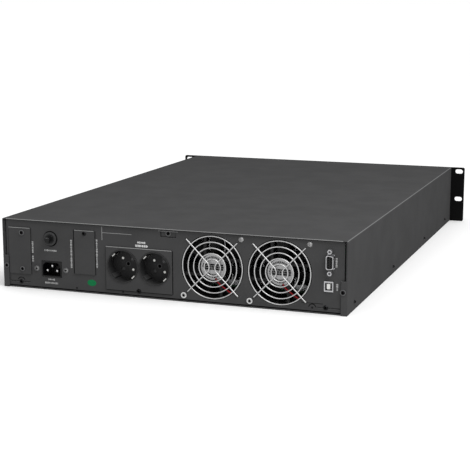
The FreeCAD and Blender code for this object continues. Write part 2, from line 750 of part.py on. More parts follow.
def make_battery_front():
    """The drawer's moulded front: a deep grip pocket in the middle, air slots on both sides."""
    width = "casing_width - bezel_width - front_gap"
    shell = moulded_shell("drawer", width, DRAWER_CENTRE_X, size.fit_gap)
    pocket_y = BEZEL_FACE + (size.pocket_depth + size.bezel_wall) / 2
    sizes = ("pocket_width + 2 * bezel_wall", "pocket_depth + bezel_wall", "pocket_height + 2 * bezel_wall")
    housing = block("pocket_housing", sizes, (DRAWER_CENTRE_X, pocket_y, FRONT_CENTRE_Z))
    whole = fuse("drawer_with_pocket", [shell, housing])
    mouth_y = BEZEL_FACE + size.pocket_depth / 2 - OVERSHOOT / 2
    sizes = ("pocket_width", size.pocket_depth + OVERSHOOT, "pocket_height")
    voids = [block("pocket_mouth", sizes, (DRAWER_CENTRE_X, mouth_y, FRONT_CENTRE_Z))]
    levels = [14.0 + 7.0 * step for step in range(9)]
    for side in (-1, 1):
        slot_x = DRAWER_CENTRE_X + side * (size.pocket_width / 2 + 48)
        voids += vent_slots(f"drawer_vent_{side + 1}", slot_x, 76.0, levels)
    finished(cut("battery_front_shape", whole, voids), "battery_front")


def make_handle_bar():
    """The bar across the grip pocket."""
    centre = (DRAWER_CENTRE_X, BEZEL_FACE + 1 + size.handle_thickness / 2, FRONT_CENTRE_Z)
    bar = block("handle_block", ("pocket_width", "handle_thickness", "handle_height"), centre)
    finished(rounded("handle_bar_shape", bar, 3.0, lambda e: runs_along(e, Vector(1, 0, 0))), "handle_bar")


def make_battery_connector():
    """The plug on the back of the tray, and the fixed socket that it enters."""
    tray_back = PLATE_FACE - size.fit_gap + size.tray_length
    z = BAY_FLOOR + 30
    plug_centre = (BAY_CENTRE_X, tray_back + size.plug_length / 2, z)
    plug = block("battery_plug_shape", ("plug_width", "plug_length", "plug_height"), plug_centre)
    finished(plug, "battery_plug")
    socket_y = tray_back + 6 + 11
    outer = block("socket_outer", ("plug_width + 8", 22.0, "plug_height + 8"), (BAY_CENTRE_X, socket_y, z))
    sizes = ("plug_width + 4 * fit_gap", 22.0, "plug_height + 4 * fit_gap")
    mouth = block("socket_mouth", sizes, (BAY_CENTRE_X, socket_y - 10, z))
    post_height = z - FLOOR - size.plug_height / 2 - 4
    post_centre = (BAY_CENTRE_X, socket_y + 4, FLOOR + post_height / 2)
    post = block("socket_post", (24.0, 8.0, post_height), post_centre)
    finished(cut("battery_socket_shape", fuse("socket_on_post", [outer, post]), [mouth]), "battery_socket")


# ---------------------------------------------------------------- fans
def make_fan_frame(number, centre):
    """An axial fan's housing: duct, four slanted struts, stator disc and bearing tube."""
    place = Placement(Vector(centre[0], PANEL_BACK, centre[1]), Rotation())
    frame = body(f"fan_frame_{number}", place)
    outline = sketch_on(frame, "panel", f"frame_outline_{number}")
    draw_rectangle(outline, (0, 0), (size.fan_size, size.fan_size), ("fan_size", "fan_size"))
    pad(frame, outline, "fan_depth", f"frame_block_{number}")
    duct = sketch_on(frame, "panel", f"duct_{number}")
    draw_circle(duct, (0, 0), size.duct_radius, "duct_radius")
    corner = size.fan_spacing / 2
    for x, z in ((corner, corner), (-corner, corner), (-corner, -corner), (corner, -corner)):
        draw_circle(duct, (x, z), 2.2, "screw_hole_radius + 0.5")
    pocket(frame, duct, "fan_depth", f"duct_cut_{number}")
    strut = sketch_on(frame, "panel", f"strut_{number}", size.stator_recess)
    reach = size.duct_radius + 1.5
    draw_rectangle(strut, (reach / 2, -10.0), (reach, size.strut_width), (f"{reach}", "strut_width"))
    strut_pad = pad(frame, strut, "stator_thickness", f"strut_pad_{number}")
    ring = frame.newObject("PartDesign::PolarPattern", f"struts_{number}")
    ring.Originals = [strut_pad]
    ring.Axis = (strut, ["N_Axis"])
    ring.Angle = 360
    ring.Occurrences = 4
    frame.Tip = ring
    doc.recompute()
    disc = sketch_on(frame, "panel", f"stator_{number}", size.stator_recess)
    draw_circle(disc, (0, 0), size.hub_radius, "hub_radius")
    pad(frame, disc, "stator_thickness", f"stator_disc_{number}")
    tube = sketch_on(frame, "panel", f"tube_{number}", size.stator_recess)
    draw_circle(tube, (0, 0), size.bearing_radius, "bearing_radius")
    pad(frame, tube, "fan_depth - stator_recess - 6", f"bearing_tube_{number}")
    bore = sketch_on(frame, "panel", f"bore_{number}", size.stator_recess + 1.0)
    draw_circle(bore, (0, 0), size.shaft_radius, "shaft_radius + shaft_clearance")
    pocket(frame, bore, "fan_depth", f"bearing_bore_{number}")


def make_fan_rotor(number, centre):
    """A cup with a shaft and seven twisted blades, turning inside the duct."""
    front = -size.stator_recess - size.stator_thickness - 1.0
    back = -size.fan_depth + 2.0

    def spindle(radius, start, end):
        return Part.makeCylinder(radius, end - start, Vector(0, start, 0), Vector(0, 1, 0))

    cup = spindle(size.hub_radius - 0.4, back, front)
    hollow = spindle(size.hub_radius - 2.0, back + 2.0, front)
    shaft = spindle(size.shaft_radius, back, -size.stator_recess - 1.5)
    rotor = cup.cut(hollow).fuse(shaft)
    middle = (front + back) / 2
    for blade in range(7):
        vane = fan_blade(middle)
        vane.rotate(Vector(0, 0, 0), Vector(0, 1, 0), blade * 360 / 7)
        rotor = rotor.fuse(vane)
    rotor = rotor.removeSplitter()
    place = Placement(Vector(centre[0], PANEL_BACK, centre[1]), Rotation())
    finished(shape_piece(f"fan_rotor_{number}_shape", rotor, place), f"fan_rotor_{number}")


def fan_blade(middle):
    """One blade, lofted from a steep root to a flatter tip."""
    sections = []
    stations = ((size.hub_radius - 1.2, 48, 0.85), (27.0, 40, 0.95), (size.blade_tip_radius, 33, 1.05))
    for radius, pitch, stretch in stations:
        chord = size.blade_chord * stretch
        half = size.blade_thickness / 2
        corners = [(-chord / 2, -half), (chord / 2, -half), (chord / 2, half), (-chord / 2, half)]
        cosine, sine = math.cos(math.radians(pitch)), math.sin(math.radians(pitch))
        points = [
            Vector(u * cosine - v * sine, middle + u * sine + v * cosine, radius) for u, v in corners
        ]
        sections.append(Part.makePolygon(points + points[:1]))
    return Part.makeLoft(sections, True, True)


def make_fan_guard(number, centre):
    """A wire guard: five rings inside the panel hole, welded to two bent wires across them."""
    x, z = centre
    leg_y = PANEL_FACE + size.guard_wire_radius
    ring_y = leg_y - size.guard_weld_depth
    pieces = []
    for i in range(1, 6):
        ring = doc.addObject("Part::Torus", f"guard_{number}_ring_{i}")
        bind(ring, "Radius1", f"guard_ring_{i}")
        bind(ring, "Radius2", "guard_wire_radius")
        ring.Placement = Placement(Vector(x, ring_y, z), AXIS_TURN["Y"])
        pieces.append(ring)
    for side in (-1, 1):
        wire = guard_wire(side)
        place = Placement(Vector(x, leg_y, z), Rotation())
        pieces.append(shape_piece(f"guard_{number}_wire_{side + 1}", wire, place))
    finished(fuse(f"fan_guard_{number}_shape", pieces), f"fan_guard_{number}")


def guard_wire(side):
    """A wire from an upper corner, bent round past the middle, to the corner below it."""
    waist = 3.6
    bend = 8.0
    ends = []
    for level in (1, -1):
        reach = size.guard_leg_reach if side == level else size.guard_short_reach
        spread = math.hypot(reach - waist - bend, reach)
        angle = math.atan2(reach, reach - waist - bend) + math.acos(bend / spread)
        touch_x, touch_z = waist + bend + bend * math.cos(angle), bend * math.sin(angle)
        corner = Vector(side * reach, 0, level * reach)
        ends.append((corner, Vector(side * touch_x, 0, level * touch_z)))
    (high, start), (low, end) = ends
    path = Part.Wire([
        Part.LineSegment(high, start).toShape(),
        Part.Arc(start, Vector(side * waist, 0, 0), end).toShape(),
        Part.LineSegment(end, low).toShape(),
    ])
    profile = Part.Wire([Part.makeCircle(size.guard_wire_radius, high, start - high)])
    wire = path.makePipeShell([profile], True, True)
    tail = size.guard_wire_radius + size.sheet_thickness
    for corner in (high, low):
        hook = Part.makeCylinder(size.guard_wire_radius, tail, corner, Vector(0, -1, 0))
        knuckle = Part.makeSphere(size.guard_wire_radius, corner)
        wire = wire.fuse(hook).fuse(knuckle)
    return wire


def make_fan_leads():
    """The supply wire of each fan, laid along a strut from the stator to the duct wall."""
    leads = []
    y = PANEL_BACK - size.lead_radius
    for i, (x, z) in enumerate(FAN_CENTRES):
        start = Vector(x - 4.5, y, z - 16.0)
        end = Vector(x - 19.0, y, z - 27.5)
        wire = Part.makeCylinder(size.lead_radius, (end - start).Length, start, end - start)
        leads.append(shape_piece(f"fan_lead_{i}", wire))
    finished(group("fan_lead_pair", leads), "fan_leads")


# ---------------------------------------------------------------- rear sockets and ports
def make_outlet_plate():
    """The plate around the two outlets, with one opening that follows both rims."""
    place = Placement(Vector(0, PANEL_FACE + size.sheet_thickness, 0), Rotation())
    plate = body("outlet_plate", place)
    outline = sketch_on(plate, "panel", "outlet_plate_outline")
    sizes = (size.outlet_plate_width, size.outlet_plate_height)
    draw_rectangle(outline, OUTLET_PLATE_CENTRE, sizes, ("outlet_plate_width", "outlet_plate_height"))
    pad(plate, outline, "sheet_thickness", "outlet_plate_sheet")
    for i, centre in enumerate(OUTLET_CENTRES):
        opening = sketch_on(plate, "panel", f"outlet_opening_{i}")
        draw_circle(opening, centre, size.outlet_rim_radius, "outlet_rim_radius + 0.15")
        pocket(plate, opening, "sheet_thickness", f"outlet_opening_cut_{i}")
    notch = sketch_on(plate, "panel", "outlet_plate_notch")
    draw_circle(notch, LIP_SCREWS[1], size.screw_head_radius, "screw_head_radius + 0.3")
    pocket(plate, notch, "sheet_thickness", "outlet_plate_notch_cut")


def make_outlet(number, centre):
    """A round two-pin outlet turned 45 degrees, with side earth grooves."""
    x, z = centre
    face = PANEL_FACE + size.sheet_thickness + 0.8
    start_y = face - size.outlet_length
    barrel = rod(f"outlet_{number}_barrel", "outlet_rim_radius", "outlet_length", (x, start_y, z))
    recess_y = face - size.outlet_depth
    voids = [rod(f"outlet_{number}_recess", "outlet_radius", 4 * OVERSHOOT, (x, recess_y, z))]
    lean = size.outlet_pin_spacing / 2 * math.sqrt(0.5)
    for sign in (-1, 1):
        pin_start = (x - sign * lean, recess_y - OVERSHOOT, z + sign * lean)
        name = f"outlet_{number}_pin_hole_{sign + 1}"
        voids.append(rod(name, "outlet_pin_radius", 2 * OVERSHOOT, pin_start))
        rivet_start = (x + sign * lean, recess_y - 2, z + sign * lean)
        voids.append(rod(f"outlet_{number}_rivet_hole_{sign + 1}", 1.6, 4.0, rivet_start))
    hollow = cut(f"outlet_{number}_hollow", barrel, voids)
    keys = []
    for sign in (-1, 1):
        rib = Part.makeBox(3.0, size.outlet_depth - 1.5, 6.0)
        rib.translate(Vector(size.outlet_radius - 2.6, recess_y, -3.0))
        rib.rotate(Vector(0, 0, 0), Vector(0, 1, 0), 45 + (0 if sign > 0 else 180))
        place = Placement(Vector(x, 0, z), Rotation())
        keys.append(shape_piece(f"outlet_{number}_rib_{sign + 1}", rib, place))
    finished(fuse(f"outlet_{number}_shape", [hollow] + keys), f"outlet_{number}")


def make_earth_contacts():
    """The sprung side contacts and the rivets that show in both outlet recesses."""
    pieces = []
    face = PANEL_FACE + size.sheet_thickness + 0.8
    recess_y = face - size.outlet_depth
    lean = size.outlet_pin_spacing / 2 * math.sqrt(0.5)
    for i, (x, z) in enumerate(OUTLET_CENTRES):
        for sign in (-1, 1):
            clip = Part.makeBox(1.4, size.outlet_depth - 3.0, 5.0)
            clip.translate(Vector(size.outlet_radius - 1.9, recess_y + 0.5, -2.5))
            clip.rotate(Vector(0, 0, 0), Vector(0, 1, 0), -45 + (0 if sign > 0 else 180))
            place = Placement(Vector(x, 0, z), Rotation())
            pieces.append(shape_piece(f"earth_clip_{i}_{sign + 1}", clip, place))
            start = (x + sign * lean, recess_y - 1.5, z + sign * lean)
            pieces.append(rod(f"earth_rivet_{i}_{sign + 1}", 1.5, 2.3, start))
    finished(group("earth_contact_set", pieces), "earth_contacts")


def make_inlet():
    """The three-blade appliance inlet, fixed from behind the panel by two screws."""
    x, z = INLET_CENTRE
    face = PANEL_FACE + 0.4
    barrel_y = face - size.inlet_length / 2
    sizes = ("inlet_width", "inlet_length", "inlet_height")
    barrel = block("inlet_barrel", sizes, (x, barrel_y, z))
    flange_y = PANEL_BACK - 1.5
    flange = block("inlet_flange", ("inlet_flange_width", 3.0, "inlet_height + 3"), (x, flange_y, z))
    cavity_y = face - size.inlet_cavity_depth / 2 + OVERSHOOT / 2
    depth = size.inlet_cavity_depth + OVERSHOOT
    sizes = ("inlet_cavity_width", depth, "inlet_cavity_height")
    cavity = block("inlet_cavity", sizes, (x, cavity_y, z))

    def upper_corner(edge):
        return lengthwise(edge) and edge.CenterOfMass.z > z

    keyed = rounded("inlet_keyed_cavity", cavity, 4.0, upper_corner, "Part::Chamfer")
    voids = [keyed]
    for sign in (-1, 1):
        start = (x + sign * size.inlet_screw_spacing / 2, PANEL_BACK - 2 * OVERSHOOT, z)
        voids.append(rod(f"inlet_flange_hole_{sign + 1}", "screw_hole_radius", 4 * OVERSHOOT, start))
    finished(cut("iec_inlet_shape", fuse("inlet_solid", [barrel, flange]), voids), "iec_inlet")
    floor_y = face - size.inlet_cavity_depth
    pins = []
    for i, (dx, dz) in enumerate(((0.0, 3.4), (6.6, -2.4), (-6.6, -2.4))):
        pin = block(f"inlet_pin_{i}", ("blade_width", 14.0, "blade_height"), (x + dx, floor_y + 7, z + dz))
        pins.append(rounded(f"inlet_pin_soft_{i}", pin, 0.6, lambda e: e.CenterOfMass.y > floor_y + 13.5))
    finished(group("inlet_pin_set", pins), "inlet_pins")


def make_breaker():
    """The resettable circuit breaker: body, ribbed nut and the button that pops out."""
    x, z = BREAKER_CENTRE
    body_y = PANEL_BACK - size.breaker_body_length / 2
    sizes = ("breaker_body_width", "breaker_body_length", "breaker_body_height")
    case = block("breaker_case", sizes, (x, body_y, z + 1))
    bush_length = "breaker_bush_reach + sheet_thickness"
    bush = rod("breaker_bush", "breaker_bush_radius", bush_length, (x, PANEL_BACK, z))
    bore_y = PANEL_BACK - 8
    bore = rod("breaker_bore", "breaker_button_radius + shaft_clearance", 6 * OVERSHOOT, (x, bore_y, z))
    finished(cut("breaker_body_shape", fuse("breaker_solid", [case, bush]), [bore]), "breaker_body")
    nut = rod("breaker_nut_ring", "breaker_nut_radius", "breaker_nut_height", (x, PANEL_FACE, z))
    soft = rounded("breaker_nut_soft", nut, 0.6, lambda e: e.CenterOfMass.y > PANEL_FACE + 1)
    thread = rod("breaker_thread", "breaker_bush_radius + 0.02", 3 * OVERSHOOT, (x, PANEL_BACK, z))
    finished(cut("breaker_nut_shape", soft, [thread]), "breaker_nut")
    tip = REAR_EDGE + size.rear_reach
    start_y = bore_y + 1
    stem = rod("breaker_stem", "breaker_button_radius", tip - start_y, (x, start_y, z))
    button = rounded("breaker_button_shape", stem, 0.9, lambda e: e.CenterOfMass.y > tip - 0.1)
    finished(button, "breaker_button")


def d_prism(width, height, start_y, length):
    """The rounded D-shaped prism of a serial connector along +Y, its longer side towards +X."""
    half_width, half_height = width / 2, height / 2
    short_half = half_height * (1 - size.db9_slant)
    points = [
        Vector(half_width, start_y, half_height), Vector(-half_width, start_y, short_half),
        Vector(-half_width, start_y, -short_half), Vector(half_width, start_y, -half_height),
    ]
    prism = Part.Face(Part.makePolygon(points + points[:1])).extrude(Vector(0, length, 0))
    return prism.makeFillet(size.db9_corner, [edge for edge in prism.Edges if lengthwise(edge)])


def make_db9_port():
    """The serial port: a D-shaped shell on its flange, two jack posts, and the insert with pin holes."""
    x, z = DB9_CENTRE
    wall = size.shell_wall
    start = PANEL_BACK - 6
    length = 6 + size.sheet_thickness + size.db9_reach
    shell = d_prism(size.db9_width, size.db9_height, start, length)
    flange = Part.makeBox(size.db9_flange_width, 1.0, size.db9_flange_height)
    flange.translate(Vector(-size.db9_flange_width / 2, PANEL_BACK - 1.0, -size.db9_flange_height / 2))
    port = shell.fuse(flange)
    port = port.cut(d_prism(size.db9_width - 2 * wall, size.db9_height - 2 * wall, start - 1, length + 2))
    for sign in (-1, 1):
        jack_z = sign * size.db9_screw_spacing / 2
        neck_start = Vector(0, PANEL_BACK - 1.0, jack_z)
        neck = Part.makeCylinder(size.jack_radius - 1.2, 3.0, neck_start, Vector(0, 1, 0))
        post = hexagon(size.jack_radius, PANEL_FACE + 0.1, 4.8).translate(Vector(0, 0, jack_z))
        hole = Part.makeCylinder(1.25, 8, Vector(0, PANEL_FACE + 0.6, jack_z), Vector(0, 1, 0))
        port = port.fuse(neck).fuse(post).cut(hole)
    place = Placement(Vector(x, 0, z), Rotation())
    finished(shape_piece("db9_port_shape", port, place), "db9_port")
    insert_wall = wall + 0.05
    insert = d_prism(size.db9_width - 2 * insert_wall, size.db9_height - 2 * insert_wall, start, length - 0.5)
    for column, (count, dx) in enumerate(((5, 1.4), (4, -1.4))):
        for i in range(count):
            pin_z = (i - (count - 1) / 2) * 2.76
            top = start + length - 4
            insert = insert.cut(Part.makeCylinder(0.65, 6, Vector(dx, top, pin_z), Vector(0, 1, 0)))
    finished(shape_piece("db9_insert_shape", insert, place), "db9_insert")


def hexagon(radius, start_y, length):
    """A six-sided post along +Y."""
    corners = [math.radians(60 * step) for step in range(7)]
    points = [Vector(radius * math.cos(a), start_y, radius * math.sin(a)) for a in corners]
    return Part.Face(Part.makePolygon(points)).extrude(Vector(0, length, 0))


def make_usb_port():
    """The square USB socket, with a tongue in its mouth."""
    x, z = USB_CENTRE
    face = PANEL_FACE + size.usb_reach
    shell = block("usb_shell", ("usb_width", "usb_length", "usb_height"), (x, face - size.usb_length / 2, z))
    mouth = block("usb_mouth", ("usb_width - 2.4", 18.0, "usb_height - 3.2"), (x, face, z))
    tongue_y = face - 9 + 4
    tongue = block("usb_tongue", (3.2, 8.0, 5.6), (x + 0.4, tongue_y, z))
    finished(fuse("usb_port_shape", [cut("usb_hollow", shell, [mouth]), tongue]), "usb_port")


def make_blank_plate():
    """The plate that closes the external battery opening."""
    place = Placement(Vector(0, PANEL_FACE + size.sheet_thickness, 0), Rotation())
    plate = body("blank_plate", place)
    outline = sketch_on(plate, "panel", "blank_outline")
    sizes = (size.blank_width, size.blank_height)
    draw_rectangle(outline, BLANK_CENTRE, sizes, ("blank_width", "blank_height"))
    pad(plate, outline, "sheet_thickness", "blank_sheet")
    holes = sketch_on(plate, "panel", "blank_holes")
    for spot in BLANK_SCREWS:
        draw_circle(holes, spot, size.screw_hole_radius, "screw_hole_radius")
    pocket(plate, holes, "sheet_thickness", "blank_hole_cut")


def make_slot_cover():
    """The plate over the communication card slot."""
    place = Placement(Vector(0, PANEL_FACE + size.sheet_thickness, 0), Rotation())
    plate = body("slot_cover", place)
    outline = sketch_on(plate, "panel", "slot_outline")
    sizes = (size.slot_cover_width, size.slot_cover_height)
    draw_rectangle(outline, SLOT_CENTRE, sizes, ("slot_cover_width", "slot_cover_height"))
    pad(plate, outline, "sheet_thickness", "slot_sheet")
    hole = sketch_on(plate, "panel", "slot_hole")
    draw_circle(hole, SLOT_SCREW, size.screw_hole_radius, "screw_hole_radius")
    pocket(plate, hole, "sheet_thickness", "slot_hole_cut")


# ---------------------------------------------------------------- screws
def pan_screw(head_radius):
    """A domed cross-head screw along +Y, its head standing on Y = 0."""
    height = size.screw_head_height
    dome_radius = (head_radius ** 2 + height ** 2) / (2 * height)
    dome = Part.makeSphere(dome_radius, Vector(0, height - dome_radius, 0))
    head = Part.makeCylinder(head_radius, height, Vector(0, 0, 0), Vector(0, 1, 0)).common(dome)
    shank = Part.makeCylinder(
        size.screw_shank_radius, size.screw_length, Vector(0, -size.screw_length, 0), Vector(0, 1, 0)
    )
    screw = head.fuse(shank)
    arm = head_radius * 1.15
    for long_x, long_z in ((arm, 0.7), (0.7, arm)):
        slot = Part.makeBox(long_x, height, long_z, Vector(-long_x / 2, height * 0.35, -long_z / 2))
        screw = screw.cut(slot)
    return screw


def make_cover_screws():
    """The dark screws of the cover, the rear lip, the blanking plate and the slot cover."""
    outward = Rotation()
    places = []
    for distance in SIDE_SCREWS_FROM_REAR:
        for side in (-1, 1):
            turn = Rotation(Vector(0, 0, 1), -90 * side)
            places.append(Placement(Vector(side * SIDE, REAR_EDGE - distance, SIDE_SCREW_Z), turn))
    for side in (-1, 1):
        x, z = FLANGE_SCREW
        places.append(Placement(Vector(side * x, REAR_EDGE, z), outward))
    places.append(Placement(Vector(TAB_SCREW[0], PANEL_BACK, TAB_SCREW[1]), outward))
    places += [Placement(Vector(x, PANEL_FACE, z), outward) for x, z in LIP_SCREWS]
    plate_face = PANEL_FACE + size.sheet_thickness
    places += [Placement(Vector(x, plate_face, z), outward) for x, z in BLANK_SCREWS + [SLOT_SCREW]]
    screws = [
        shape_piece(f"cover_screw_{i}", pan_screw(size.screw_head_radius), place)
        for i, place in enumerate(places)
    ]
    finished(group("cover_screw_set", screws), "cover_screws")


def make_bright_screws():
    """The bright screws of the fans and of the inlet."""
    spots = []
    offset = size.fan_spacing / 2
    for x, z in FAN_CENTRES:
        spots += [(x - offset, z + offset), (x + offset, z - offset)]
    inlet_x, inlet_z = INLET_CENTRE
    reach = size.inlet_screw_spacing / 2
    spots += [(inlet_x - reach, inlet_z), (inlet_x + reach, inlet_z)]
    screws = []
    for i, (x, z) in enumerate(spots):
        place = Placement(Vector(x, PANEL_FACE, z), Rotation())
        screws.append(shape_piece(f"bright_screw_{i}", pan_screw(size.screw_head_radius + 0.3), place))
    finished(group("bright_screw_set", screws), "bright_screws")


# ---------------------------------------------------------------- electronics
def make_power_board():
    """The main circuit board on six posts."""
    place = Placement(Vector(BOARD_CENTRE[0], BOARD_CENTRE[1], BOARD_BOTTOM), Rotation())
    board = body("power_board", place)
    outline = sketch_on(board, "floor", "board_outline")
    draw_rectangle(outline, (0, 0), (size.board_width, size.board_length), ("board_width", "board_length"))
    pad(board, outline, "board_thickness", "board_sheet")
    posts = []
    for i, across in enumerate((-1, 0, 1)):
        for j, along in enumerate((-1, 1)):
            x = BOARD_CENTRE[0] + across * (size.board_width / 2 - 8)
            y = BOARD_CENTRE[1] + along * (size.board_length / 2 - 8)
            posts.append(rod(f"post_{i}_{j}", "post_radius", "post_height", (x, y, FLOOR), "Z"))
    finished(group("board_post_set", posts), "board_posts")


def make_heatsink():
    """The finned extrusion in line with the fans."""
    place = Placement(Vector(SINK_CENTRE[0], SINK_CENTRE[1] + size.sink_length / 2, BOARD_TOP), Rotation())
    sink = body("heatsink", place)
    base = sketch_on(sink, "panel", "sink_base_outline")
    sizes = (size.sink_width, size.sink_base)
    draw_rectangle(base, (0, size.sink_base / 2), sizes, ("sink_width", "sink_base"))
    pad(sink, base, "sink_length", "sink_base_bar")
    fin = sketch_on(sink, "panel", "fin_outline")
    fin_x = -size.sink_width / 2 + size.fin_thickness / 2
    sizes = (size.fin_thickness, size.sink_height)
    draw_rectangle(fin, (fin_x, size.sink_height / 2), sizes, ("fin_thickness", "sink_height"))
    fin_pad = pad(sink, fin, "sink_length", "fin")
    row_of_fins = sink.newObject("PartDesign::LinearPattern", "fins")
    row_of_fins.Originals = [fin_pad]
    row_of_fins.Direction = (fin, ["H_Axis"])
    bind(row_of_fins, "Length", "sink_width - fin_thickness")
    row_of_fins.Occurrences = int(size.fin_count)
    sink.Tip = row_of_fins
    doc.recompute()
    transistors = []
    side_x = SINK_CENTRE[0] + size.sink_width / 2
    for i in range(6):
        y = SINK_CENTRE[1] + (i - 2.5) * 24
        centre = (side_x + 2.5, y, BOARD_TOP + 16)
        transistors.append(block(f"transistor_{i}", (5.0, 15.8, 24.0), centre))
    finished(group("transistor_set", transistors), "power_transistors")


def make_board_parts():
    """The storage capacitors and the chokes on the main board."""
    cans = []
    for row in range(3):
        for column in range(2):
            x = FIRST_CAPACITOR[0] + column * CAPACITOR_PITCH
            start = (x, FIRST_CAPACITOR[1] + row * CAPACITOR_PITCH, BOARD_TOP)
            name = f"capacitor_{row}_{column}"
            can = rod(name, "capacitor_radius", "capacitor_height", start, "Z")
            cans.append(rounded(f"{name}_soft", can, 1.5, lambda e: e.CenterOfMass.z > BOARD_TOP + 5))
    finished(group("capacitor_set", cans), "bus_capacitors")
    rings = []
    for i, (x, y) in enumerate(CHOKE_CENTRES):
        ring = doc.addObject("Part::Torus", f"choke_{i}")
        bind(ring, "Radius1", "choke_radius")
        bind(ring, "Radius2", "choke_wire")
        ring.Placement = Placement(Vector(x, y, BOARD_TOP + size.choke_wire), Rotation())
        rings.append(ring)
    finished(group("choke_pair", rings), "chokes")


def make_transformer():
    """The transformer: an E-shaped core and the winding round its middle leg."""
    x, y = TRANSFORMER_CENTRE
    middle_z = BOARD_TOP + size.core_height / 2
    outer = block("core_outer", ("core_length", "core_depth", "core_height"), (x, y, middle_z))
    window_width = "(core_length - 3 * core_leg) / 2"
    shift = (size.core_length - size.core_leg) / 4
    windows = [
        block(f"core_window_{side + 1}", (window_width, 60.0, "core_height - 2 * core_leg"),
              (x + side * shift, y, middle_z))
        for side in (-1, 1)
    ]
    finished(cut("transformer_core_shape", outer, windows), "transformer_core")
    coil_sizes = ("core_length - 2 * core_leg - 1", "core_depth + 20", "core_height - 2 * core_leg - 1")
    coil = block("winding_outer", coil_sizes, (x, y, middle_z))
    leg_space = block("winding_core_space", ("core_leg + 1", "core_depth + 1", 60.0), (x, y, middle_z))
    finished(cut("transformer_winding_shape", coil, [leg_space]), "transformer_winding")


def make_small_boards():
    """The input filter board with its capacitors, and the communication board behind the ports."""
    x, y = FILTER_CENTRE
    board_centre = (x, y, BOARD_TOP - size.board_thickness / 2)
    board = block("filter_sheet", (96.0, 70.0, "board_thickness"), board_centre)
    feet = []
    for i, (dx, dy) in enumerate(((-42, -29), (42, -29), (-42, 29), (42, 29))):
        feet.append(rod(f"filter_foot_{i}", "post_radius", "post_height", (x + dx, y + dy, FLOOR), "Z"))
    finished(fuse("filter_board_shape", [board] + feet), "filter_board")
    cans = []
    for i in range(3):
        centre = (x - 28 + 28 * i, y - 6, BOARD_TOP + 11)
        cans.append(block(f"filter_capacitor_{i}", (11.0, 30.0, 22.0), centre))
    finished(group("filter_capacitor_set", cans), "filter_capacitors")
    finished(block("comms_board_shape", ("board_thickness", 72.0, 66.0), COMMS_CENTRE), "comms_board")


# ---------------------------------------------------------------- the assembly
def build_all():
    make_base_tray()
    make_rear_panel()
    make_top_cover()
    make_front_plate()
    make_bay_divider()
    make_tray_runners()
    make_bezel()
    make_display()
    make_key("power_button", POWER_KEY, "power_key_radius")
    for label, place in MENU_KEYS.items():
        make_key(label, place, "menu_key_radius")
    make_battery_tray()
    make_batteries()
    make_battery_front()
    make_handle_bar()
    make_battery_connector()
    for number, centre in enumerate(FAN_CENTRES, start=1):
        make_fan_frame(number, centre)
        make_fan_rotor(number, centre)
        make_fan_guard(number, centre)
    make_fan_leads()
    make_outlet_plate()
    for number, centre in enumerate(OUTLET_CENTRES, start=1):
        make_outlet(number, centre)
    make_earth_contacts()
    make_inlet()
    make_breaker()
    make_db9_port()
    make_usb_port()
    make_blank_plate()
    make_slot_cover()
    make_cover_screws()
    make_bright_screws()
    make_power_board()
    make_heatsink()
    make_board_parts()
    make_transformer()
    make_small_boards()


def check_all():
    """Stops the build if anything failed or a sub-part isn't a valid solid."""
    doc.recompute()
    for item in doc.Objects:
        if "Invalid" in item.State or "Error" in item.State:
            raise RuntimeError(f"{item.Label} failed: {item.State}")
    for piece in sub_parts:
        shape = piece.Shape
        if shape.isNull() or not shape.isValid() or not shape.Solids:
            raise RuntimeError(f"{piece.Label} has no valid solid")
        print(f"{piece.Label}: {len(shape.Solids)} solid(s), {shape.Volume / 1000:.1f} cm3")


def write_all():
    os.makedirs("parts", exist_ok=True)
    for piece in sub_parts:
        piece.Shape.exportStep(f"parts/{piece.Label}.step")


build_all()
check_all()
write_all()
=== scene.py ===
"""Looks of a two-unit rackmount UPS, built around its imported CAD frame.

Metres, +Z up, the base on Z = 0. +Y is the rear panel, -Y the rack front, and +X is on the left in a
view of the rear panel. Sizes written with MM are millimetres.
"""
import json
import math
import random

import bmesh
import bpy
from mathutils import Matrix, Vector


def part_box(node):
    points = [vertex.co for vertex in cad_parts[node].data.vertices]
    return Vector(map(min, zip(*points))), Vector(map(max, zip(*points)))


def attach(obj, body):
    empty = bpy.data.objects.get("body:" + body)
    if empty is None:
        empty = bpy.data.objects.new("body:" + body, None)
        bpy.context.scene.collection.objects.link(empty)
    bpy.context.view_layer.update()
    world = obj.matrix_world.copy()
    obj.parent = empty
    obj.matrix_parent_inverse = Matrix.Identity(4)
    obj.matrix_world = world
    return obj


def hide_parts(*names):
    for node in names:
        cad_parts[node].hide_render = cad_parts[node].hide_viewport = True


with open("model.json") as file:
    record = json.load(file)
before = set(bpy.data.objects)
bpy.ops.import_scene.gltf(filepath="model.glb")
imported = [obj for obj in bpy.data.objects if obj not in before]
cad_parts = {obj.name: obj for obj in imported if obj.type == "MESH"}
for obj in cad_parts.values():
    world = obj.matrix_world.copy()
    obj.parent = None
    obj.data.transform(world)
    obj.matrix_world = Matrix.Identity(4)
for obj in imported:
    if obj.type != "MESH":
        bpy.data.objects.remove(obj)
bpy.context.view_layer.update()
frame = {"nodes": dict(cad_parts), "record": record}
MM = 0.001

# ------------------------------------------------------------------ places read from the frame
PANEL_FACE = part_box("rear_panel")[1].y


def middle(node):
    """The centre of a CAD node's box."""
    near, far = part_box(node)
    return (near + far) / 2


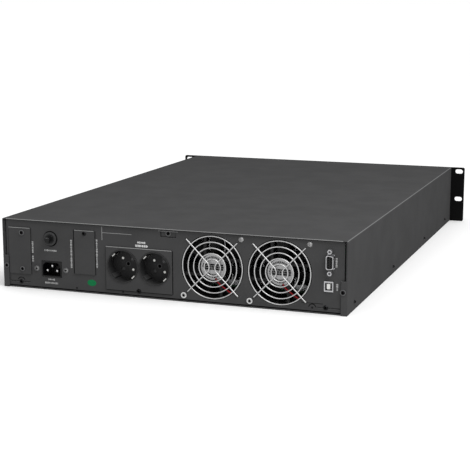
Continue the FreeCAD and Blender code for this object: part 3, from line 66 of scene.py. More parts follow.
# ------------------------------------------------------------------ camera, floor and light
CAMERA_PLACE = Vector((-555.3, 1633.9, 350.9)) * MM
CAMERA_YAW = math.radians(19.92)
CAMERA_PITCH = math.radians(10.93)
CAMERA_LENS_MM = 93.37
WORLD_STRENGTH = 0.8
OVERHEAD_POWER = 0.85
OVERHEAD_SPREAD = math.radians(50)
OVERHEAD_AIM = Vector((0.35, -0.15, -1.0))
KEY_PLACE = (-0.9, 0.7, 1.4)
KEY_TARGET = (-0.2, 0.25, 0.05)
KEY_SIZE = 0.9
KEY_POWER = 8.0
KEY_ON_OBJECT_POWER = 19.0
FLOOR_REACH = 90.0


def make_camera():
    """The view of the rear panel from its right-hand side, slightly above."""
    forward = Vector((
        math.sin(CAMERA_YAW) * math.cos(CAMERA_PITCH),
        -math.cos(CAMERA_YAW) * math.cos(CAMERA_PITCH),
        -math.sin(CAMERA_PITCH),
    ))
    data = bpy.data.cameras.new("camera")
    data.lens = CAMERA_LENS_MM
    data.sensor_width = 36.0
    data.clip_end = 100.0
    camera = bpy.data.objects.new("camera", data)
    camera.location = CAMERA_PLACE
    camera.rotation_euler = forward.to_track_quat("-Z", "Y").to_euler()
    bpy.context.collection.objects.link(camera)
    bpy.context.scene.camera = camera


def make_key_light(name, power):
    """A soft square lamp above the near side, turned towards the object."""
    data = bpy.data.lights.new(name, "AREA")
    data.shape = "RECTANGLE"
    data.size = KEY_SIZE
    data.size_y = KEY_SIZE
    data.energy = power
    lamp = bpy.data.objects.new(name, data)
    lamp.location = KEY_PLACE
    lamp.rotation_euler = (Vector(KEY_TARGET) - Vector(KEY_PLACE)).to_track_quat("-Z", "Y").to_euler()
    bpy.context.collection.objects.link(lamp)
    return lamp


def keep_light_off(lamp, surface):
    """Stops one lamp from lighting one object."""
    unlit = bpy.data.collections.new(lamp.name + "_unlit")
    unlit.objects.link(surface)
    lamp.light_linking.receiver_collection = unlit
    unlit.collection_objects[0].light_linking.link_state = "EXCLUDE"


def make_stage():
    """White surroundings, a soft lamp overhead, two key lamps in one place, and a pale floor."""
    world = bpy.data.worlds.new("studio")
    bpy.context.scene.world = world
    world.use_nodes = True
    nodes, links = world.node_tree.nodes, world.node_tree.links
    backdrop = nodes["Background"]
    backdrop.inputs["Color"].default_value = (1.0, 1.0, 1.0, 1.0)
    seen = nodes.new("ShaderNodeMapRange")
    links.new(nodes.new("ShaderNodeLightPath").outputs["Is Camera Ray"], seen.inputs["Value"])
    seen.inputs["To Min"].default_value = WORLD_STRENGTH
    seen.inputs["To Max"].default_value = 1.0
    links.new(seen.outputs["Result"], backdrop.inputs["Strength"])
    sun = bpy.data.lights.new("overhead", "SUN")
    sun.energy = OVERHEAD_POWER
    sun.angle = OVERHEAD_SPREAD
    lamp = bpy.data.objects.new("overhead", sun)
    lamp.rotation_euler = OVERHEAD_AIM.to_track_quat("-Z", "Y").to_euler()
    bpy.context.collection.objects.link(lamp)
    make_key_light("key", KEY_POWER)
    object_key = make_key_light("key_on_object", KEY_ON_OBJECT_POWER)
    bpy.context.scene.view_settings.view_transform = "Standard"

    mesh = bpy.data.meshes.new("floor")
    corners = [(FLOOR_REACH * x, FLOOR_REACH * y, 0) for x, y in ((-1, -1), (1, -1), (1, 1), (-1, 1))]
    mesh.from_pydata(corners, [], [(0, 1, 2, 3)])
    floor = bpy.data.objects.new("floor", mesh)
    floor.location.z = -0.0002
    bpy.context.collection.objects.link(floor)
    paper = Shader("studio_paper", (0.97, 0.97, 0.97), 0.9)
    paper.set("Specular IOR Level", 0.0)
    paper.bump(paper.noise(2.0), 0.05, 0.3 * MM)
    mesh.materials.append(paper.material)
    keep_light_off(object_key, floor)


# ------------------------------------------------------------------ material tools
class Shader:
    """A Principled material with short calls for the nodes that feed it. Sizes are in millimetres."""

    def __init__(self, name, color, roughness, metallic=0.0):
        self.material = bpy.data.materials.new(name)
        self.material.use_nodes = True
        self.tree = self.material.node_tree
        self.surface = self.tree.nodes["Principled BSDF"]
        self.set("Base Color", (*color, 1.0))
        self.set("Roughness", roughness)
        self.set("Metallic", metallic)
        self.place = self.tree.nodes.new("ShaderNodeTexCoord").outputs["Object"]
        self.normal = None

    def set(self, socket, value):
        self.surface.inputs[socket].default_value = value

    def link(self, output, socket):
        self.tree.links.new(output, self.surface.inputs[socket])

    def node(self, kind, **settings):
        made = self.tree.nodes.new(kind)
        for name, value in settings.items():
            setattr(made, name, value)
        return made

    def feed(self, node, **values):
        """Sets or links a node's inputs by name; an underscore stands for a space."""
        for name, value in values.items():
            socket = node.inputs[name.replace("_", " ")]
            if isinstance(value, bpy.types.NodeSocket):
                self.tree.links.new(value, socket)
            else:
                socket.default_value = value
        return node

    def stretched(self, x, y, z):
        """The place on the object, with each axis scaled."""
        mapping = self.node("ShaderNodeMapping")
        self.feed(mapping, Vector=self.place, Scale=(x, y, z))
        return mapping.outputs["Vector"]

    def noise(self, grain_mm, detail=2.0, place=None, rough=0.5):
        """Soft noise whose blobs are about grain_mm across."""
        made = self.node("ShaderNodeTexNoise")
        self.feed(made, Vector=place or self.place, Scale=1.0 / (grain_mm * MM))
        self.feed(made, Detail=detail, Roughness=rough)
        return made.outputs["Fac"]

    def cells(self, grain_mm, feature="F1", output="Distance", place=None):
        """Cells about grain_mm across."""
        made = self.node("ShaderNodeTexVoronoi", feature=feature)
        self.feed(made, Vector=place or self.place, Scale=1.0 / (grain_mm * MM))
        return made.outputs[output]

    def spread(self, value, low_in, high_in, low_out, high_out):
        """The value moved from one span to another, and held inside it."""
        made = self.node("ShaderNodeMapRange")
        self.feed(made, Value=value)
        self.feed(made, From_Min=low_in, From_Max=high_in, To_Min=low_out, To_Max=high_out)
        return made.outputs["Result"]

    def blend(self, factor, first, second):
        """A colour between two colours, each a tuple or a socket."""
        made = self.node("ShaderNodeMix", data_type="RGBA")
        self.tree.links.new(factor, made.inputs["Factor"])
        colour_inputs = [s for s in made.inputs if s.type == "RGBA"]
        for socket, value in zip(colour_inputs, (first, second)):
            if isinstance(value, bpy.types.NodeSocket):
                self.tree.links.new(value, socket)
            else:
                socket.default_value = (*value, 1.0)
        return [s for s in made.outputs if s.type == "RGBA"][0]

    def bump(self, height, strength, distance):
        """Relief from a height; a second call adds to the first."""
        made = self.node("ShaderNodeBump")
        self.feed(made, Height=height, Strength=strength, Distance=distance)
        if self.normal:
            self.tree.links.new(self.normal, made.inputs["Normal"])
        self.normal = made.outputs["Normal"]
        self.link(self.normal, "Normal")

    def soft_edges(self, radius_mm):
        """Rounds the look of sharp edges, and gives a mask that is high on them."""
        bevel = self.node("ShaderNodeBevel", samples=4)
        bevel.inputs["Radius"].default_value = radius_mm * MM
        true_normal = self.node("ShaderNodeNewGeometry").outputs["True Normal"]
        dot = self.node("ShaderNodeVectorMath", operation="DOT_PRODUCT")
        self.tree.links.new(bevel.outputs["Normal"], dot.inputs[0])
        self.tree.links.new(true_normal, dot.inputs[1])
        self.normal = bevel.outputs["Normal"]
        self.link(self.normal, "Normal")
        return self.spread(dot.outputs["Value"], 0.75, 1.0, 1.0, 0.0)

    def lifted_edges(self, radius_mm):
        """Rounds sharp edges, and gives a mask that is high where a bend turns upwards."""
        self.soft_edges(radius_mm)
        round_up = self.node("ShaderNodeSeparateXYZ")
        self.tree.links.new(self.normal, round_up.inputs["Vector"])
        flat_up = self.node("ShaderNodeSeparateXYZ")
        true_normal = self.node("ShaderNodeNewGeometry").outputs["True Normal"]
        self.tree.links.new(true_normal, flat_up.inputs["Vector"])
        lift = self.node("ShaderNodeMath", operation="SUBTRACT")
        self.tree.links.new(round_up.outputs["Z"], lift.inputs[0])
        self.tree.links.new(flat_up.outputs["Z"], lift.inputs[1])
        return self.spread(lift.outputs["Value"], 0.08, 0.5, 0.0, 1.0)

    def bend_mask(self):
        """High in the middle of a fold between a side and the top."""
        facing = self.node("ShaderNodeSeparateXYZ")
        self.tree.links.new(self.node("ShaderNodeNewGeometry").outputs["Normal"], facing.inputs["Vector"])
        lean = self.node("ShaderNodeMath", operation="MULTIPLY")
        self.tree.links.new(facing.outputs["X"], lean.inputs[0])
        self.tree.links.new(facing.outputs["Z"], lean.inputs[1])
        size = self.node("ShaderNodeMath", operation="ABSOLUTE")
        self.tree.links.new(lean.outputs["Value"], size.inputs[0])
        return self.spread(size.outputs["Value"], 0.4, 0.5, 0.0, 0.8)


def make_powder_coat(name, color, edge_highlight_gain, roughness, specular):
    """Fine-textured powder coat: pebbled relief, faint mottle, and a painted highlight on upward-turned edges
    and on the bends between a side and the top.
    """
    paint = Shader(name, color, roughness)
    paint.set("Specular IOR Level", specular)
    edge = paint.lifted_edges(0.6)
    mottle = paint.spread(paint.noise(35, 3.0), 0.35, 0.65, 0.0, 1.0)
    grain = paint.spread(paint.noise(0.55, 3.0), 0.3, 0.7, 0.0, 1.0)
    dark = tuple(c * 0.94 for c in color)
    light = tuple(c * 1.06 for c in color)
    body = paint.blend(mottle, dark, light)
    speckled = paint.blend(paint.spread(grain, 0, 1, 0.0, 0.35), body, tuple(c * 1.35 for c in color))
    # Painted highlight: upward-turned edges and the bend between a side and the top take this lighter colour,
    # in place of the light they catch from above.
    lit = tuple(min(1.0, c * edge_highlight_gain) for c in color)
    folded = paint.blend(paint.bend_mask(), paint.blend(edge, speckled, lit), lit)
    paint.link(folded, "Base Color")
    paint.link(paint.spread(grain, 0, 1, roughness - 0.06, roughness + 0.08), "Roughness")
    paint.bump(paint.noise(0.9, 2.0), 0.35, 0.05 * MM)
    paint.bump(paint.noise(0.35, 1.0), 0.25, 0.02 * MM)
    return paint.material


def make_zinc():
    """Zinc-plated sheet: crystal patches of slightly different grey."""
    zinc = Shader("zinc_sheet", (0.5, 0.51, 0.52), 0.4, 1.0)
    zinc.soft_edges(0.2)
    patch = zinc.cells(9, output="Color")
    tone = zinc.node("ShaderNodeSeparateColor")
    zinc.tree.links.new(patch, tone.inputs["Color"])
    shade = tone.outputs["Red"]
    zinc.link(zinc.blend(shade, (0.42, 0.43, 0.45), (0.62, 0.63, 0.64)), "Base Color")
    zinc.link(zinc.spread(shade, 0, 1, 0.32, 0.5), "Roughness")
    zinc.bump(zinc.noise(1.2, 3.0), 0.1, 0.05 * MM)
    return zinc.material


def make_moulding(name, color, roughness, grain_mm=0.45, relief=0.03, specular=0.5):
    """Moulded plastic with a spark-eroded surface and a painted highlight on its sharp edges."""
    plastic = Shader(name, color, roughness)
    plastic.set("Specular IOR Level", specular)
    edge = plastic.soft_edges(0.25)
    tone = plastic.spread(plastic.noise(18, 2.0), 0.35, 0.65, 0.0, 1.0)
    body = plastic.blend(tone, tuple(c * 0.92 for c in color), tuple(c * 1.08 for c in color))
    # Painted highlight: sharp edges take a lighter colour.
    plastic.link(plastic.blend(edge, body, tuple(min(1.0, c * 1.5 + 0.006) for c in color)), "Base Color")
    grain = plastic.noise(grain_mm, 2.0)
    plastic.link(plastic.spread(grain, 0.3, 0.7, roughness - 0.05, roughness + 0.07), "Roughness")
    plastic.bump(grain, 0.3, relief * MM)
    return plastic.material


def make_metal(name, color, roughness, along=None, scratch_mm=0.3, soft=0.1):
    """Bare or plated metal; along is the axis of its brush lines, if it has them."""
    metal = Shader(name, color, roughness, 1.0)
    metal.soft_edges(soft)
    scale = {"X": (0.04, 1, 1), "Y": (1, 0.04, 1), "Z": (1, 1, 0.04)}.get(along, (1, 1, 1))
    lines = metal.noise(scratch_mm, 3.0, metal.stretched(*scale))
    haze = metal.noise(6, 3.0)
    metal.link(metal.blend(haze, tuple(c * 0.86 for c in color), color), "Base Color")
    metal.link(metal.spread(lines, 0.25, 0.75, roughness * 0.7, roughness * 1.5), "Roughness")
    metal.bump(lines, 0.08, 0.02 * MM)
    return metal.material


def make_glass():
    """Tinted window: clear, with faint dust."""
    pane = Shader("window_glass", (0.25, 0.28, 0.3), 0.03)
    pane.set("IOR", 1.49)
    pane.set("Transmission Weight", 0.85)
    pane.link(pane.spread(pane.noise(4, 4.0), 0.5, 0.8, 0.02, 0.14), "Roughness")
    return pane.material


def make_circuit_board():
    """Green solder mask with tracks under it and a faint weave."""
    board = Shader("circuit_board", (0.01, 0.1, 0.035), 0.3)
    board.soft_edges(0.2)
    tracks = board.node("ShaderNodeTexBrick", offset=0.37, squash=1.6, squash_frequency=3)
    board.feed(tracks, Vector=board.place, Scale=1.0)
    board.feed(tracks, Mortar_Size=0.0004, Brick_Width=0.021, Row_Height=0.0032)
    board.feed(tracks, Color1=(0, 0, 0, 1), Color2=(0.25, 0.25, 0.25, 1), Mortar=(1, 1, 1, 1))
    board.link(board.blend(tracks.outputs["Fac"], (0.008, 0.085, 0.03), (0.02, 0.17, 0.06)), "Base Color")
    board.link(board.spread(board.noise(0.7, 2.0), 0.3, 0.7, 0.24, 0.4), "Roughness")
    board.bump(tracks.outputs["Fac"], 0.5, 0.04 * MM)
    return board.material


def make_winding():
    """Enamelled copper wire laid in turns."""
    copper = Shader("copper_winding", (0.62, 0.25, 0.09), 0.28, 1.0)
    turns = copper.node("ShaderNodeTexWave", bands_direction="Z")
    copper.feed(turns, Vector=copper.place, Scale=160.0, Distortion=0.4, Detail=1.0)
    copper.link(copper.blend(turns.outputs["Fac"], (0.3, 0.1, 0.04), (0.75, 0.33, 0.13)), "Base Color")
    copper.link(copper.spread(copper.noise(2, 2.0), 0.3, 0.7, 0.2, 0.4), "Roughness")
    copper.bump(turns.outputs["Fac"], 0.8, 0.4 * MM)
    return copper.material


def make_ferrite():
    """Pressed ferrite: dark, matt and slightly pitted."""
    ferrite = Shader("ferrite_core", (0.035, 0.035, 0.038), 0.6)
    ferrite.soft_edges(0.4)
    pores = ferrite.cells(1.3)
    cloud = ferrite.noise(5, 4.0)
    ferrite.link(ferrite.blend(cloud, (0.025, 0.025, 0.027), (0.06, 0.06, 0.062)), "Base Color")
    ferrite.link(ferrite.spread(pores, 0, 0.8, 0.75, 0.5), "Roughness")
    ferrite.bump(pores, 0.4, 0.15 * MM)
    return ferrite.material


def make_ink(name, color):
    """Screen-printed ink: slightly uneven cover."""
    ink = Shader(name, color, 0.55)
    ink.set("Specular IOR Level", 0.15)
    worn = ink.spread(ink.noise(0.8, 3.0), 0.35, 0.6, 0.0, 1.0)
    ink.link(ink.blend(worn, tuple(c * 0.6 for c in color), color), "Base Color")
    ink.link(ink.spread(worn, 0, 1, 0.7, 0.5), "Roughness")
    ink.bump(ink.noise(0.4, 2.0), 0.2, 0.02 * MM)
    return ink.material


def make_foil():
    """Silver label foil with fine rolling lines."""
    foil = Shader("label_foil", (0.42, 0.42, 0.42), 0.4, 0.5)
    lines = foil.noise(0.25, 3.0, foil.stretched(0.03, 1, 1))
    foil.link(foil.blend(lines, (0.24, 0.24, 0.245), (0.4, 0.4, 0.4)), "Base Color")
    foil.link(foil.spread(lines, 0.3, 0.7, 0.34, 0.5), "Roughness")
    foil.bump(foil.noise(3, 2.0), 0.15, 0.1 * MM)
    return foil.material


PAINT = {
    "casing_paint": make_powder_coat("casing_powder_coat", (0.0435, 0.0435, 0.044), 3.2, 0.6, 0.0),
    "plate_black": make_powder_coat("plate_powder_coat", (0.002, 0.002, 0.002), 3.0, 0.6, 0.06),
    "zinc_steel": make_zinc(),
    "front_plastic": make_moulding("front_moulding", (0.02, 0.02, 0.021), 0.5),
    "key_plastic": make_moulding("key_moulding", (0.09, 0.09, 0.095), 0.42, 0.3),
    "display_glass": make_glass(),
    "display_panel": make_moulding("display_moulding", (0.03, 0.07, 0.14), 0.35, 0.8),
    "circuit_board": make_circuit_board(),
    "connector_grey": make_moulding("connector_moulding", (0.16, 0.16, 0.17), 0.45),
    "fan_plastic": make_moulding("fan_moulding", (0.0045, 0.0045, 0.0048), 0.42, 0.6, specular=0.2),
    "chrome_wire": make_metal("plated_wire", (0.56, 0.56, 0.56), 0.42, scratch_mm=0.8),
    "lead_red": make_moulding("red_insulation", (0.2, 0.005, 0.008), 0.45, 0.8, specular=0.15),
    "gloss_black": make_moulding("gloss_moulding", (0.003, 0.003, 0.0032), 0.3, 1.4, 0.01, specular=0.22),
    "contact_metal": make_metal("contact_plating", (0.5, 0.5, 0.48), 0.3, "Y"),
    "port_metal": make_metal("port_shell", (0.46, 0.46, 0.47), 0.36, "Y"),
    "dark_screw": make_metal("black_zinc", (0.02, 0.02, 0.021), 0.4),
    "bright_screw": make_metal("bright_zinc", (0.34, 0.34, 0.34), 0.45),
    "heatsink_aluminium": make_metal("extruded_aluminium", (0.72, 0.73, 0.74), 0.36, "Y"),
    "capacitor_sleeve": make_moulding("capacitor_sleeve", (0.01, 0.018, 0.07), 0.25, 1.5, 0.01),
    "copper_wire": make_winding(),
    "ferrite": make_ferrite(),
    "battery_case": make_moulding("battery_moulding", (0.024, 0.024, 0.027), 0.46, 0.6, 0.06),
}
EXTRA = {
    "print_grey": make_ink("pale_ink", (0.34, 0.34, 0.34)),
    "print_pale": make_ink("bright_ink", (0.62, 0.62, 0.62)),
    "print_dark": make_ink("dark_ink", (0.012, 0.012, 0.013)),
    "sticker_green": make_ink("green_ink", (0.0, 0.15, 0.045)),
    "foil": make_foil(),
    # Pale paint that stands for the light caught by seams and folded edges: painted highlight.
    "edge_highlight_grey": make_powder_coat("painted_edge_highlight_coat", (0.17, 0.17, 0.17), 1.3, 0.5, 0.2),
    "pale_plastic": make_moulding("pale_moulding", (0.6, 0.6, 0.58), 0.4, 0.6),
    # Near-black used as painted shade in joints, holes, screw recesses and round the breaker's nut.
    "gap_dark": make_moulding("gap_shade", (0.0015, 0.0015, 0.0015), 0.8, specular=0.0),
    # Pale silver for the bright ring round some screw heads and the glints on the inlet's blades: painted
    # highlight.
    "highlight_silver": make_metal("painted_highlight_plating", (0.7, 0.7, 0.7), 0.36),
    # Paler grey for rings round screw heads, the upper shutters and the shine on the breaker's button:
    # painted highlight.
    "pale_highlight_grey": make_moulding("painted_highlight_moulding", (0.09, 0.09, 0.092), 0.5, specular=0.2),
    "paper_white": make_ink("label_paper", (0.62, 0.62, 0.6)),
    "display_ink": make_ink("segment_ink", (0.5, 0.62, 0.7)),
    "chip_black": make_moulding("chip_moulding", (0.012, 0.012, 0.013), 0.4, 0.4),
    "battery_red": make_moulding("terminal_red", (0.35, 0.02, 0.02), 0.45),
    "outlet_grey": make_moulding("outlet_moulding", (0.024, 0.024, 0.0243), 0.5, 1.4, 0.01, specular=0.1),
    "nut_grey": make_moulding("nut_moulding", (0.028, 0.028, 0.0285), 0.45, 0.6, specular=0.2),
    "blade_metal": make_metal("blade_plating", (0.09, 0.09, 0.088), 0.4, "Y"),
    # Darker grey than the upper shutters: painted shade on the lower shutter in each outlet, also used for
    # the ring round its middle hole.
    "shade_grey": make_moulding("shutter_moulding", (0.045, 0.045, 0.046), 0.5, specular=0.2),
}
NODE_PAINT = {
    "outlet_1": "outlet_grey",
    "outlet_2": "outlet_grey",
    "breaker_nut": "nut_grey",
    "inlet_pins": "blade_metal",
}


def dress_frame():
    """Gives each CAD node the material of its slot, or the one NODE_PAINT sets for it."""
    slots = {part["node"]: part["material_slot"] for part in frame["record"]["subparts"]}
    for node, piece in frame["nodes"].items():
        piece.data.materials.clear()
        piece.data.materials.append(EXTRA[NODE_PAINT[node]] if node in NODE_PAINT else PAINT[slots[node]])


# ------------------------------------------------------------------ mesh tools
FACINGS = {
    "rear": Matrix(((1, 0, 0), (0, 0, 1), (0, 1, 0))),
    "front": Matrix(((1, 0, 0), (0, 0, -1), (0, 1, 0))),
    "up": Matrix(((1, 0, 0), (0, 1, 0), (0, 0, 1))),
    "left": Matrix(((0, 0, 1), (1, 0, 0), (0, 1, 0))),
    "right": Matrix(((0, 0, -1), (1, 0, 0), (0, 1, 0))),
}


def rounded_outline(width, height, radius, steps=4):
    """The outline of a rectangle with round corners, about its middle."""
    points = []
    for quarter, (side, level) in enumerate(((1, 1), (-1, 1), (-1, -1), (1, -1))):
        for step in range(steps + 1):
            angle = math.pi / 2 * (quarter + step / steps)
            x = side * (width / 2 - radius) + radius * math.cos(angle)
            points.append((x, level * (height / 2 - radius) + radius * math.sin(angle)))
    return points


def oval_outline(radius_x, radius_y, steps=40):
    """The outline of an ellipse about its middle."""
    turns = [math.tau * step / steps for step in range(steps)]
    return [(radius_x * math.cos(turn), radius_y * math.sin(turn)) for turn in turns]


def join_loops(mesh, first, second):
    """Faces between two closed loops with the same number of points."""
    for i in range(len(first)):
        j = (i + 1) % len(first)
        mesh.faces.new((first[i], first[j], second[j], second[i]))


def add_slab(mesh, outline, place, facing, thickness, bevel=0.0):
    """A flat piece standing on place, out along facing, with its outer rim bevelled."""
    turn = FACINGS[facing]
    reach = max(max(abs(u), abs(v)) for u, v in outline)
    levels = [(0.0, 1.0), (thickness - bevel, 1.0)]
    if bevel:
        levels.append((thickness, 1.0 - bevel / reach))
    rings = []
    for rise, scale in levels:
        spots = [Vector((u * scale, v * scale, rise)) for u, v in outline]
        rings.append([mesh.verts.new(place + turn @ spot) for spot in spots])
    for under, over in zip(rings, rings[1:]):
        join_loops(mesh, under, over)
    mesh.faces.new(rings[0])
    mesh.faces.new(rings[-1])


def add_ring(mesh, outer, inner, place, facing, thickness):
    """A flat rim between two outlines with the same number of points."""
    turn = FACINGS[facing]
    loops = []
    for outline, rise in ((outer, 0.0), (outer, thickness), (inner, thickness), (inner, 0.0)):
        loops.append([mesh.verts.new(place + turn @ Vector((u, v, rise))) for u, v in outline])
    for first, second in zip(loops, loops[1:] + loops[:1]):
        join_loops(mesh, first, second)


def add_disc(mesh, x, z, surface, radius, thickness, facing="rear", bevel=0.0):
    """A round slab on a flat face of the rear or the front; millimetres apart from surface."""
    place = Vector((x * MM, surface, z * MM))
    add_slab(mesh, oval_outline(radius * MM, radius * MM, 28), place, facing, thickness * MM, bevel * MM)


def add_hoop(mesh, x, z, surface, outer, inner, thickness, facing="rear"):
    """A round rim between two radii."""
    place = Vector((x * MM, surface, z * MM))
    loops = (oval_outline(outer * MM, outer * MM, 36), oval_outline(inner * MM, inner * MM, 36))
    add_ring(mesh, *loops, place, facing, thickness * MM)


def add_panel(mesh, x, z, surface, width, height, thickness, facing="rear", radius=0.15):
    """A flat rectangle with round corners."""
    place = Vector((x * MM, surface, z * MM))
    outline = rounded_outline(width * MM, height * MM, radius * MM, 2)
    add_slab(mesh, outline, place, facing, thickness * MM)


def add_tube(mesh, points, radius, sides=10, flat=1.0):
    """A closed tube along the points; flat squeezes it along Y."""
    points = [Vector(point) for point in points]
    rings = []
    for i, point in enumerate(points):
        along = (points[min(i + 1, len(points) - 1)] - points[max(i - 1, 0)]).normalized()
        across = along.orthogonal().normalized()
        if abs(along.z) < 0.9:
            across = along.cross(Vector((0, 0, 1))).normalized()
        upward = across.cross(along)
        ring = []
        for side in range(sides):
            turn = math.tau * side / sides
            offset = (across * math.cos(turn) + upward * math.sin(turn)) * radius
            offset.y *= flat
            ring.append(mesh.verts.new(point + offset))
        rings.append(ring)
    for first, second in zip(rings, rings[1:]):
        join_loops(mesh, first, second)
    mesh.faces.new(rings[0])
    mesh.faces.new(rings[-1])


def curved_path(points, steps=6):
    """Points on a smooth line through the given ones."""
    points = [Vector(point) for point in points]
    ends = [points[0] * 2 - points[1]] + points + [points[-1] * 2 - points[-2]]
    path = []
    for before, start, stop, after in zip(ends, ends[1:], ends[2:], ends[3:]):
        for step in range(steps):
            t = step / steps
            near = (stop - before) * t + (before * 2 - start * 5 + stop * 4 - after) * t * t
            far = (start * 3 - before - stop * 3 + after) * t ** 3
            path.append((start * 2 + near + far) / 2)
    return path + [points[-1]]


def finish_piece(name, mesh, material, body, smooth=True):
    """Turns the built mesh into a piece of the object that rides on a body."""
    bmesh.ops.recalc_face_normals(mesh, faces=mesh.faces)
    data = bpy.data.meshes.new(name)
    mesh.to_mesh(data)
    mesh.free()
    data.materials.append(material)
    piece = bpy.data.objects.new(name, data)
    bpy.context.collection.objects.link(piece)
    if smooth:
        data.shade_smooth()
        data.set_sharp_from_angle(angle=math.radians(35))
    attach(piece, body)
    return piece


# ------------------------------------------------------------------ rear panel details
PRINT_HEIGHT = 2.2 * MM
PRINT_THICKNESS = 0.05 * MM
STATOR_RECESS = 1.7 * MM
FAN_LABEL_RADIUS = 15.4 * MM
FAN_LABEL_THICKNESS = 0.15 * MM
FAN_LABEL_BARS = [(12.6, 2.9), (13.2, 0.3), (12.8, -2.3)]
FAN_LABEL_ARCS = [(12.2, 40, 140), (9.2, 55, 125), (12.2, 225, 315), (9.4, 235, 305)]
LEAD_DEPTH = 0.9 * MM
LEAD_ROUTE = [
    (-3.5, -13.0, 0.0, 0.6, -0.8), (-6.0, -17.0, 0.1, 0.6, -0.8), (-10.5, -21.2, -0.4, 0.5, -0.9),
    (-15.5, -24.6, -0.3, 0.6, -0.8), (-20.5, -28.4, -1.2, 0.6, -0.8), (-23.5, -30.6, -3.5, 0.5, -0.8),
]


def print_row(mesh, start, end, surface, dice, height=PRINT_HEIGHT, facing="rear"):
    """A row of plain dashes between two points on a flat face, in place of lettering."""
    start, end = Vector(start) * MM, Vector(end) * MM
    along = (end - start).normalized()
    angle = math.atan2(along.y, along.x)
    length = (end - start).length
    run = 0.0
    while run < length - 0.6 * MM:
        dash = min(dice.uniform(0.7, 2.3) * MM, length - run)
        tall = height * dice.choice((0.72, 1.0, 1.0))
        spot = start + along * (run + dash / 2)
        turn = Matrix.Rotation(angle, 2)
        outline = [tuple(turn @ Vector(point)) for point in rounded_outline(dash, tall, 0.15 * MM, 2)]
        place = Vector((spot.x, surface, spot.y))
        add_slab(mesh, outline, place, facing, PRINT_THICKNESS)
        run += dash + dice.uniform(0.35, 0.75) * MM


def make_panel_prints():
    """The pale print beside each socket and control of the rear panel."""
    dice = random.Random(11)
    mesh = bmesh.new()
    rows = [
        ((179.6, 59.0), (179.6, 44.0)), ((179.6, 41.0), (179.6, 34.0)),
        ((92.1, 67.2), (92.1, 32.1)),
        ((126.6, 64.6), (126.6, 29.7)),
        ((163.4, 49.3), (146.8, 49.3)),
        ((159.0, 13.0), (150.0, 13.0)), ((163.6, 8.6), (145.9, 8.6)),
        ((-206.6, 66.0), (-206.6, 54.7)), ((-207.8, 36.2), (-207.8, 28.3)),
    ]
    for start, end in rows:
        print_row(mesh, start, end, PANEL_FACE, dice)
    finish_piece("panel_prints", mesh, EXTRA["print_grey"], "chassis", smooth=False)
    mesh = bmesh.new()
    for start, end in (((38.4, 67.3), (28.1, 67.3)), ((41.0, 63.2), (24.9, 63.2))):
        print_row(mesh, start, end, PANEL_FACE, dice, 2.7 * MM)
    finish_piece("outlet_prints", mesh, EXTRA["print_pale"], "chassis", smooth=False)


def make_sticker():
    """The small oval inspection sticker."""
    mesh = bmesh.new()
    place = Vector((99.6 * MM, PANEL_FACE, 13.1 * MM))
    add_slab(mesh, oval_outline(5.9 * MM, 3.9 * MM), place, "rear", 0.12 * MM, 0.05 * MM)
    finish_piece("oval_sticker", mesh, EXTRA["sticker_green"], "chassis")


def make_beads():
    """Raised seam lines and folded edges of the rear panel, in a pale paint that stands for the light they
    catch: painted highlight.
    """
    mesh = bmesh.new()
    face = PANEL_FACE
    plate_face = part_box("outlet_plate")[1].y
    cover_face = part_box("top_cover")[1].y
    lines = [
        ((84.9, 67.0), (84.9, 83.6), face, 0.5),
        ((84.9, 76.2), (46.0, 76.2), face, 0.42),
        ((79.4, 59.9), (-5.8, 59.9), plate_face, 0.5),
        ((121.4, 77.0), (95.4, 77.0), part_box("slot_cover")[1].y, 0.45),
        ((211.9, 75.3), (182.6, 75.3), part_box("blank_plate")[1].y, 0.45),
        ((214.5, 85.9), (-214.5, 85.9), cover_face, 0.42),
        ((11.0, 83.2), (-14.0, 83.2), cover_face - 2.0 * MM, 0.35),
    ]
    for (start_x, start_z), (end_x, end_z), surface, radius in lines:
        start, end = Vector((start_x, 0, start_z)) * MM, Vector((end_x, 0, end_z)) * MM
        path = [start.lerp(end, step / 24) for step in range(25)]
        for point in path:
            point.y = surface
        add_tube(mesh, path, radius * MM, 10, 0.7)
    finish_piece("panel_seams", mesh, EXTRA["edge_highlight_grey"], "chassis")


def make_fan_labels():
    """A round foil label on each fan's stator, with plain bars in place of its print."""
    dice = random.Random(5)
    for number in (1, 2):
        centre = middle(f"fan_frame_{number}")
        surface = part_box(f"fan_frame_{number}")[1].y - STATOR_RECESS
        mesh = bmesh.new()
        place = Vector((centre.x, surface, centre.z))
        outline = oval_outline(FAN_LABEL_RADIUS, FAN_LABEL_RADIUS, 64)
        add_slab(mesh, outline, place, "rear", FAN_LABEL_THICKNESS, 0.05 * MM)
        finish_piece(f"fan_label_{number}", mesh, EXTRA["foil"], "chassis")
        mesh = bmesh.new()
        face = surface + FAN_LABEL_THICKNESS
        x, z = centre.x / MM, centre.z / MM
        for half, rise in FAN_LABEL_BARS:
            spot = -half
            while spot < half - 1.0:
                wide = min(dice.uniform(3.0, 6.0), half - spot)
                add_panel(mesh, x + spot + wide / 2, z + rise, face, wide, 2.2, 0.05)
                spot += wide + dice.uniform(0.25, 0.5)
        for radius, start, stop in FAN_LABEL_ARCS:
            turn, stop = math.radians(start), math.radians(stop)
            while turn < stop:
                wide = dice.uniform(1.0, 2.0)
                place = Vector(((x + radius * math.cos(turn)) * MM, face, (z + radius * math.sin(turn)) * MM))
                twist = Matrix.Rotation(turn + math.pi / 2, 2)
                outline = rounded_outline(wide * MM, 1.5 * MM, 0.1 * MM, 2)
                outline = [tuple(twist @ Vector(point)) for point in outline]
                add_slab(mesh, outline, place, "rear", PRINT_THICKNESS)
                turn += (wide + 0.6) / radius
        name = f"fan_label_print_{number}"
        finish_piece(name, mesh, EXTRA["print_dark"], "chassis", smooth=False)


